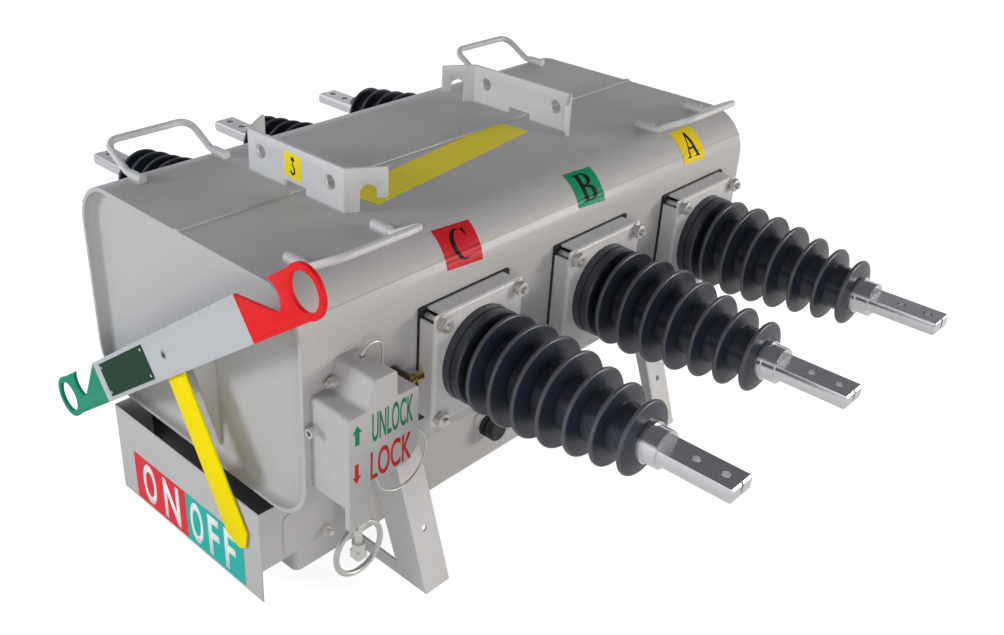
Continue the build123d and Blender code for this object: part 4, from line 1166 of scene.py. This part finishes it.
def upright_prism(sides, radius, start, end):
    """A prism around the Z axis, from one height to another."""
    deselect()
    bpy.ops.mesh.primitive_cylinder_add(
        vertices=sides, radius=radius, depth=end - start, location=(0, 0, (start + end) / 2)
    )
    return bpy.context.object


def round_washer(sides, radius, start, end, edge_round):
    return round_edges(upright_prism(sides, radius, start, end), edge_round, washer_edge_angle)


def hexagon_nut(width, start, end, corner):
    """A hexagon nut whose corners are cut away at both faces."""
    nut = upright_prism(6, width / 2 / cos(pi / 6), start, end)
    edit_all()
    bpy.ops.mesh.bevel(offset=corner, segments=1, affect="VERTICES")
    bpy.ops.object.mode_set(mode="OBJECT")
    return round_edges(nut, nut_round, nut_edge_angle)


def make_bushing_fasteners():
    """One stud with its washers and nut, copied to the corners of the six cover plates."""
    fastener = join([
        threaded_rod(stud_radius, tank_half_width + cover_plate_face, stud_reach, nut_top, thread_pitch),
        round_washer(28, washer_radius, 0.0, washer_top, washer_round),
        round_washer(24, spring_washer_radius, washer_top, spring_washer_top, spring_washer_round),
        hexagon_nut(nut_width, spring_washer_top, nut_top, nut_corner_cut),
    ])
    copies = []
    for side in (-1, 1):
        outward = Matrix.Rotation(radians(-90.0 * side), 4, "X")
        for phase_index, x in enumerate(phase_x.values()):
            for index, (across, up) in enumerate(((-1, -1), (-1, 1), (1, -1), (1, 1))):
                stud_x = x + across * stud_offset
                place = Vector((stud_x, -side * cover_plate_face, axis_z + up * stud_offset))
                spin = Matrix.Rotation(nut_turn * index + phase_turn * phase_index, 4, "Z")
                copies.append(placed_copy(fastener, Matrix.Translation(place) @ outward @ spin))
    bpy.data.objects.remove(fastener)
    fasteners = join(copies)
    bpy.ops.object.shade_smooth_by_angle(angle=fastener_smooth_angle)
    dress(fasteners, "bushing_fasteners", fastener_zinc, "tank")
    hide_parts("bushing_nuts", "bushing_studs")


# Weld beads, whose drops swell and shrink in two waves, each by a share and at a rate

bead_pitch = 0.0028
bead_length_share = 0.8
bead_swells = ((0.10, 2.3), (0.06, 5.1))
hanger_bead_radius = 0.0022
hanger_thickness = 0.006
hanger_foot_start = 0.030
hanger_foot_end = 0.116
hanger_wing_start = 0.117
hanger_wing_end = 0.1301
hanger_wing_length = 0.024
hanger_wing_angle = radians(57.0)
handle_bead_radius = 0.0024
handle_leg_offset = 0.080
handle_leg_radius = 0.0065
handle_foot_start = 0.182
handle_foot_end = 0.213
handle_start_lift = 0.0008
handle_end_lift = 0.0002


def weld_beads(name, runs, radius):
    """Beads of overlapping drops along straight runs, each run from one point to another."""
    deselect()
    bpy.ops.mesh.primitive_uv_sphere_add(segments=8, ring_count=6, radius=radius, location=(0, 0, 0))
    drop = bpy.context.object
    for polygon in drop.data.polygons:
        polygon.use_smooth = True
    copies = []
    for start, end in runs:
        start, end = Vector(start), Vector(end)
        count = max(2, int((end - start).length / bead_pitch))
        turn = (end - start).to_track_quat("X", "Z").to_matrix().to_4x4()
        for index in range(count + 1):
            size = 1.0 + sum(swell * sin(index * rate) for swell, rate in bead_swells)
            place = start.lerp(end, index / count)
            shape = Matrix.Diagonal((bead_length_share * size, size, size, 1.0))
            copies.append(placed_copy(drop, Matrix.Translation(place) @ turn @ shape))
    bpy.data.objects.remove(drop)
    dress(join(copies), name, tank_paint)


def make_hanger_welds():
    front_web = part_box("front_hanger_bracket")[0].x
    rear_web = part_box("rear_hanger_bracket")[1].x
    for end, web_x, inward in (("front", front_web, 1), ("rear", rear_web, -1)):
        wing_x = web_x + inward * hanger_wing_length * sin(hanger_wing_angle)
        runs = []
        for side in (-1, 1):
            for x in (web_x, web_x + inward * hanger_thickness):
                foot_start = (x, side * hanger_foot_start, tank_top)
                runs.append((foot_start, (x, side * hanger_foot_end, tank_top)))
            wing_start = (web_x, side * hanger_wing_start, tank_top)
            runs.append((wing_start, (wing_x, side * hanger_wing_end, tank_top)))
        weld_beads(f"{end}_hanger_weld", runs, hanger_bead_radius)


def make_handle_welds():
    for end in ("front", "rear"):
        loop_low, loop_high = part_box(f"{end}_near_lifting_handle")
        middle = (loop_low.x + loop_high.x) / 2
        runs = []
        for side in (-1, 1):
            for leg_x in (middle - handle_leg_offset, middle + handle_leg_offset):
                for x in (leg_x - handle_leg_radius, leg_x + handle_leg_radius):
                    start = (x, side * handle_foot_start, tank_top + handle_start_lift)
                    runs.append((start, (x, side * handle_foot_end, tank_top + handle_end_lift)))
        weld_beads(f"{end}_handle_weld", runs, handle_bead_radius)


# Drying agent pack, its heights as shares of the room that it fills

bag_cuts = 15
bag_gap = 0.0004
bag_seam_share = 0.12
bag_crown_share = 0.86
bag_highest_share = 0.98
bag_wrinkle_share = 0.03
bag_side_pull = 0.05
bag_end_pull = 0.03


def make_dryer_pack():
    """A stitched bag with a crowned face, flat where it lies on the tank floor."""
    low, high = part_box("dryer_pack")
    middle = (low + high) / 2
    half = (high - low) / 2
    deselect()
    bpy.ops.mesh.primitive_cube_add(size=2.0, location=(0, 0, 0))
    bag = bpy.context.object
    edit_all()
    bpy.ops.mesh.subdivide(number_cuts=bag_cuts)
    bpy.ops.object.mode_set(mode="OBJECT")
    for vertex in bag.data.vertices:
        u, v, w = vertex.co
        crown = (1 - u ** 4) * (1 - v ** 4)
        side_pull = bag_side_pull * (1 - abs(u) ** 3) * abs(v) ** 6
        end_pull = bag_end_pull * (1 - abs(v) ** 3) * abs(u) ** 6
        pull = 1 - side_pull - end_pull
        plump = bag_seam_share + bag_crown_share * crown ** 0.6
        on_top = w > 0.99
        if on_top:
            wrinkle = bag_wrinkle_share * sin(9.0 * u + 4.0 * v) * sin(7.0 * v) * crown
            share = min(plump + wrinkle, bag_highest_share)
        else:
            share = (w + 1) / 2 * plump
        height = min(low.z + bag_gap + share * half.z * 2, high.z)
        vertex.co = (middle.x + u * half.x * pull, middle.y + v * half.y * pull, height)
    smooth = bag.modifiers.new("smooth", "SUBSURF")
    smooth.levels = 1
    smooth.render_levels = 1
    apply_modifiers(bag)
    bpy.ops.object.shade_smooth()
    dress(bag, "dryer_bag", dryer_cloth, "tank")
    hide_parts("dryer_pack")


make_signs()
make_cover_print()
make_phase_labels()
# Painted shade behind the sign tray
make_tray_shade_sheet()
make_split_pin()
make_yellow_strip()
make_hanger_label()
for softened_node, edge_round in edge_rounds.items():
    soften(softened_node, edge_round)
make_bushing_fasteners()
make_hanger_welds()
make_handle_welds()
make_dryer_pack()
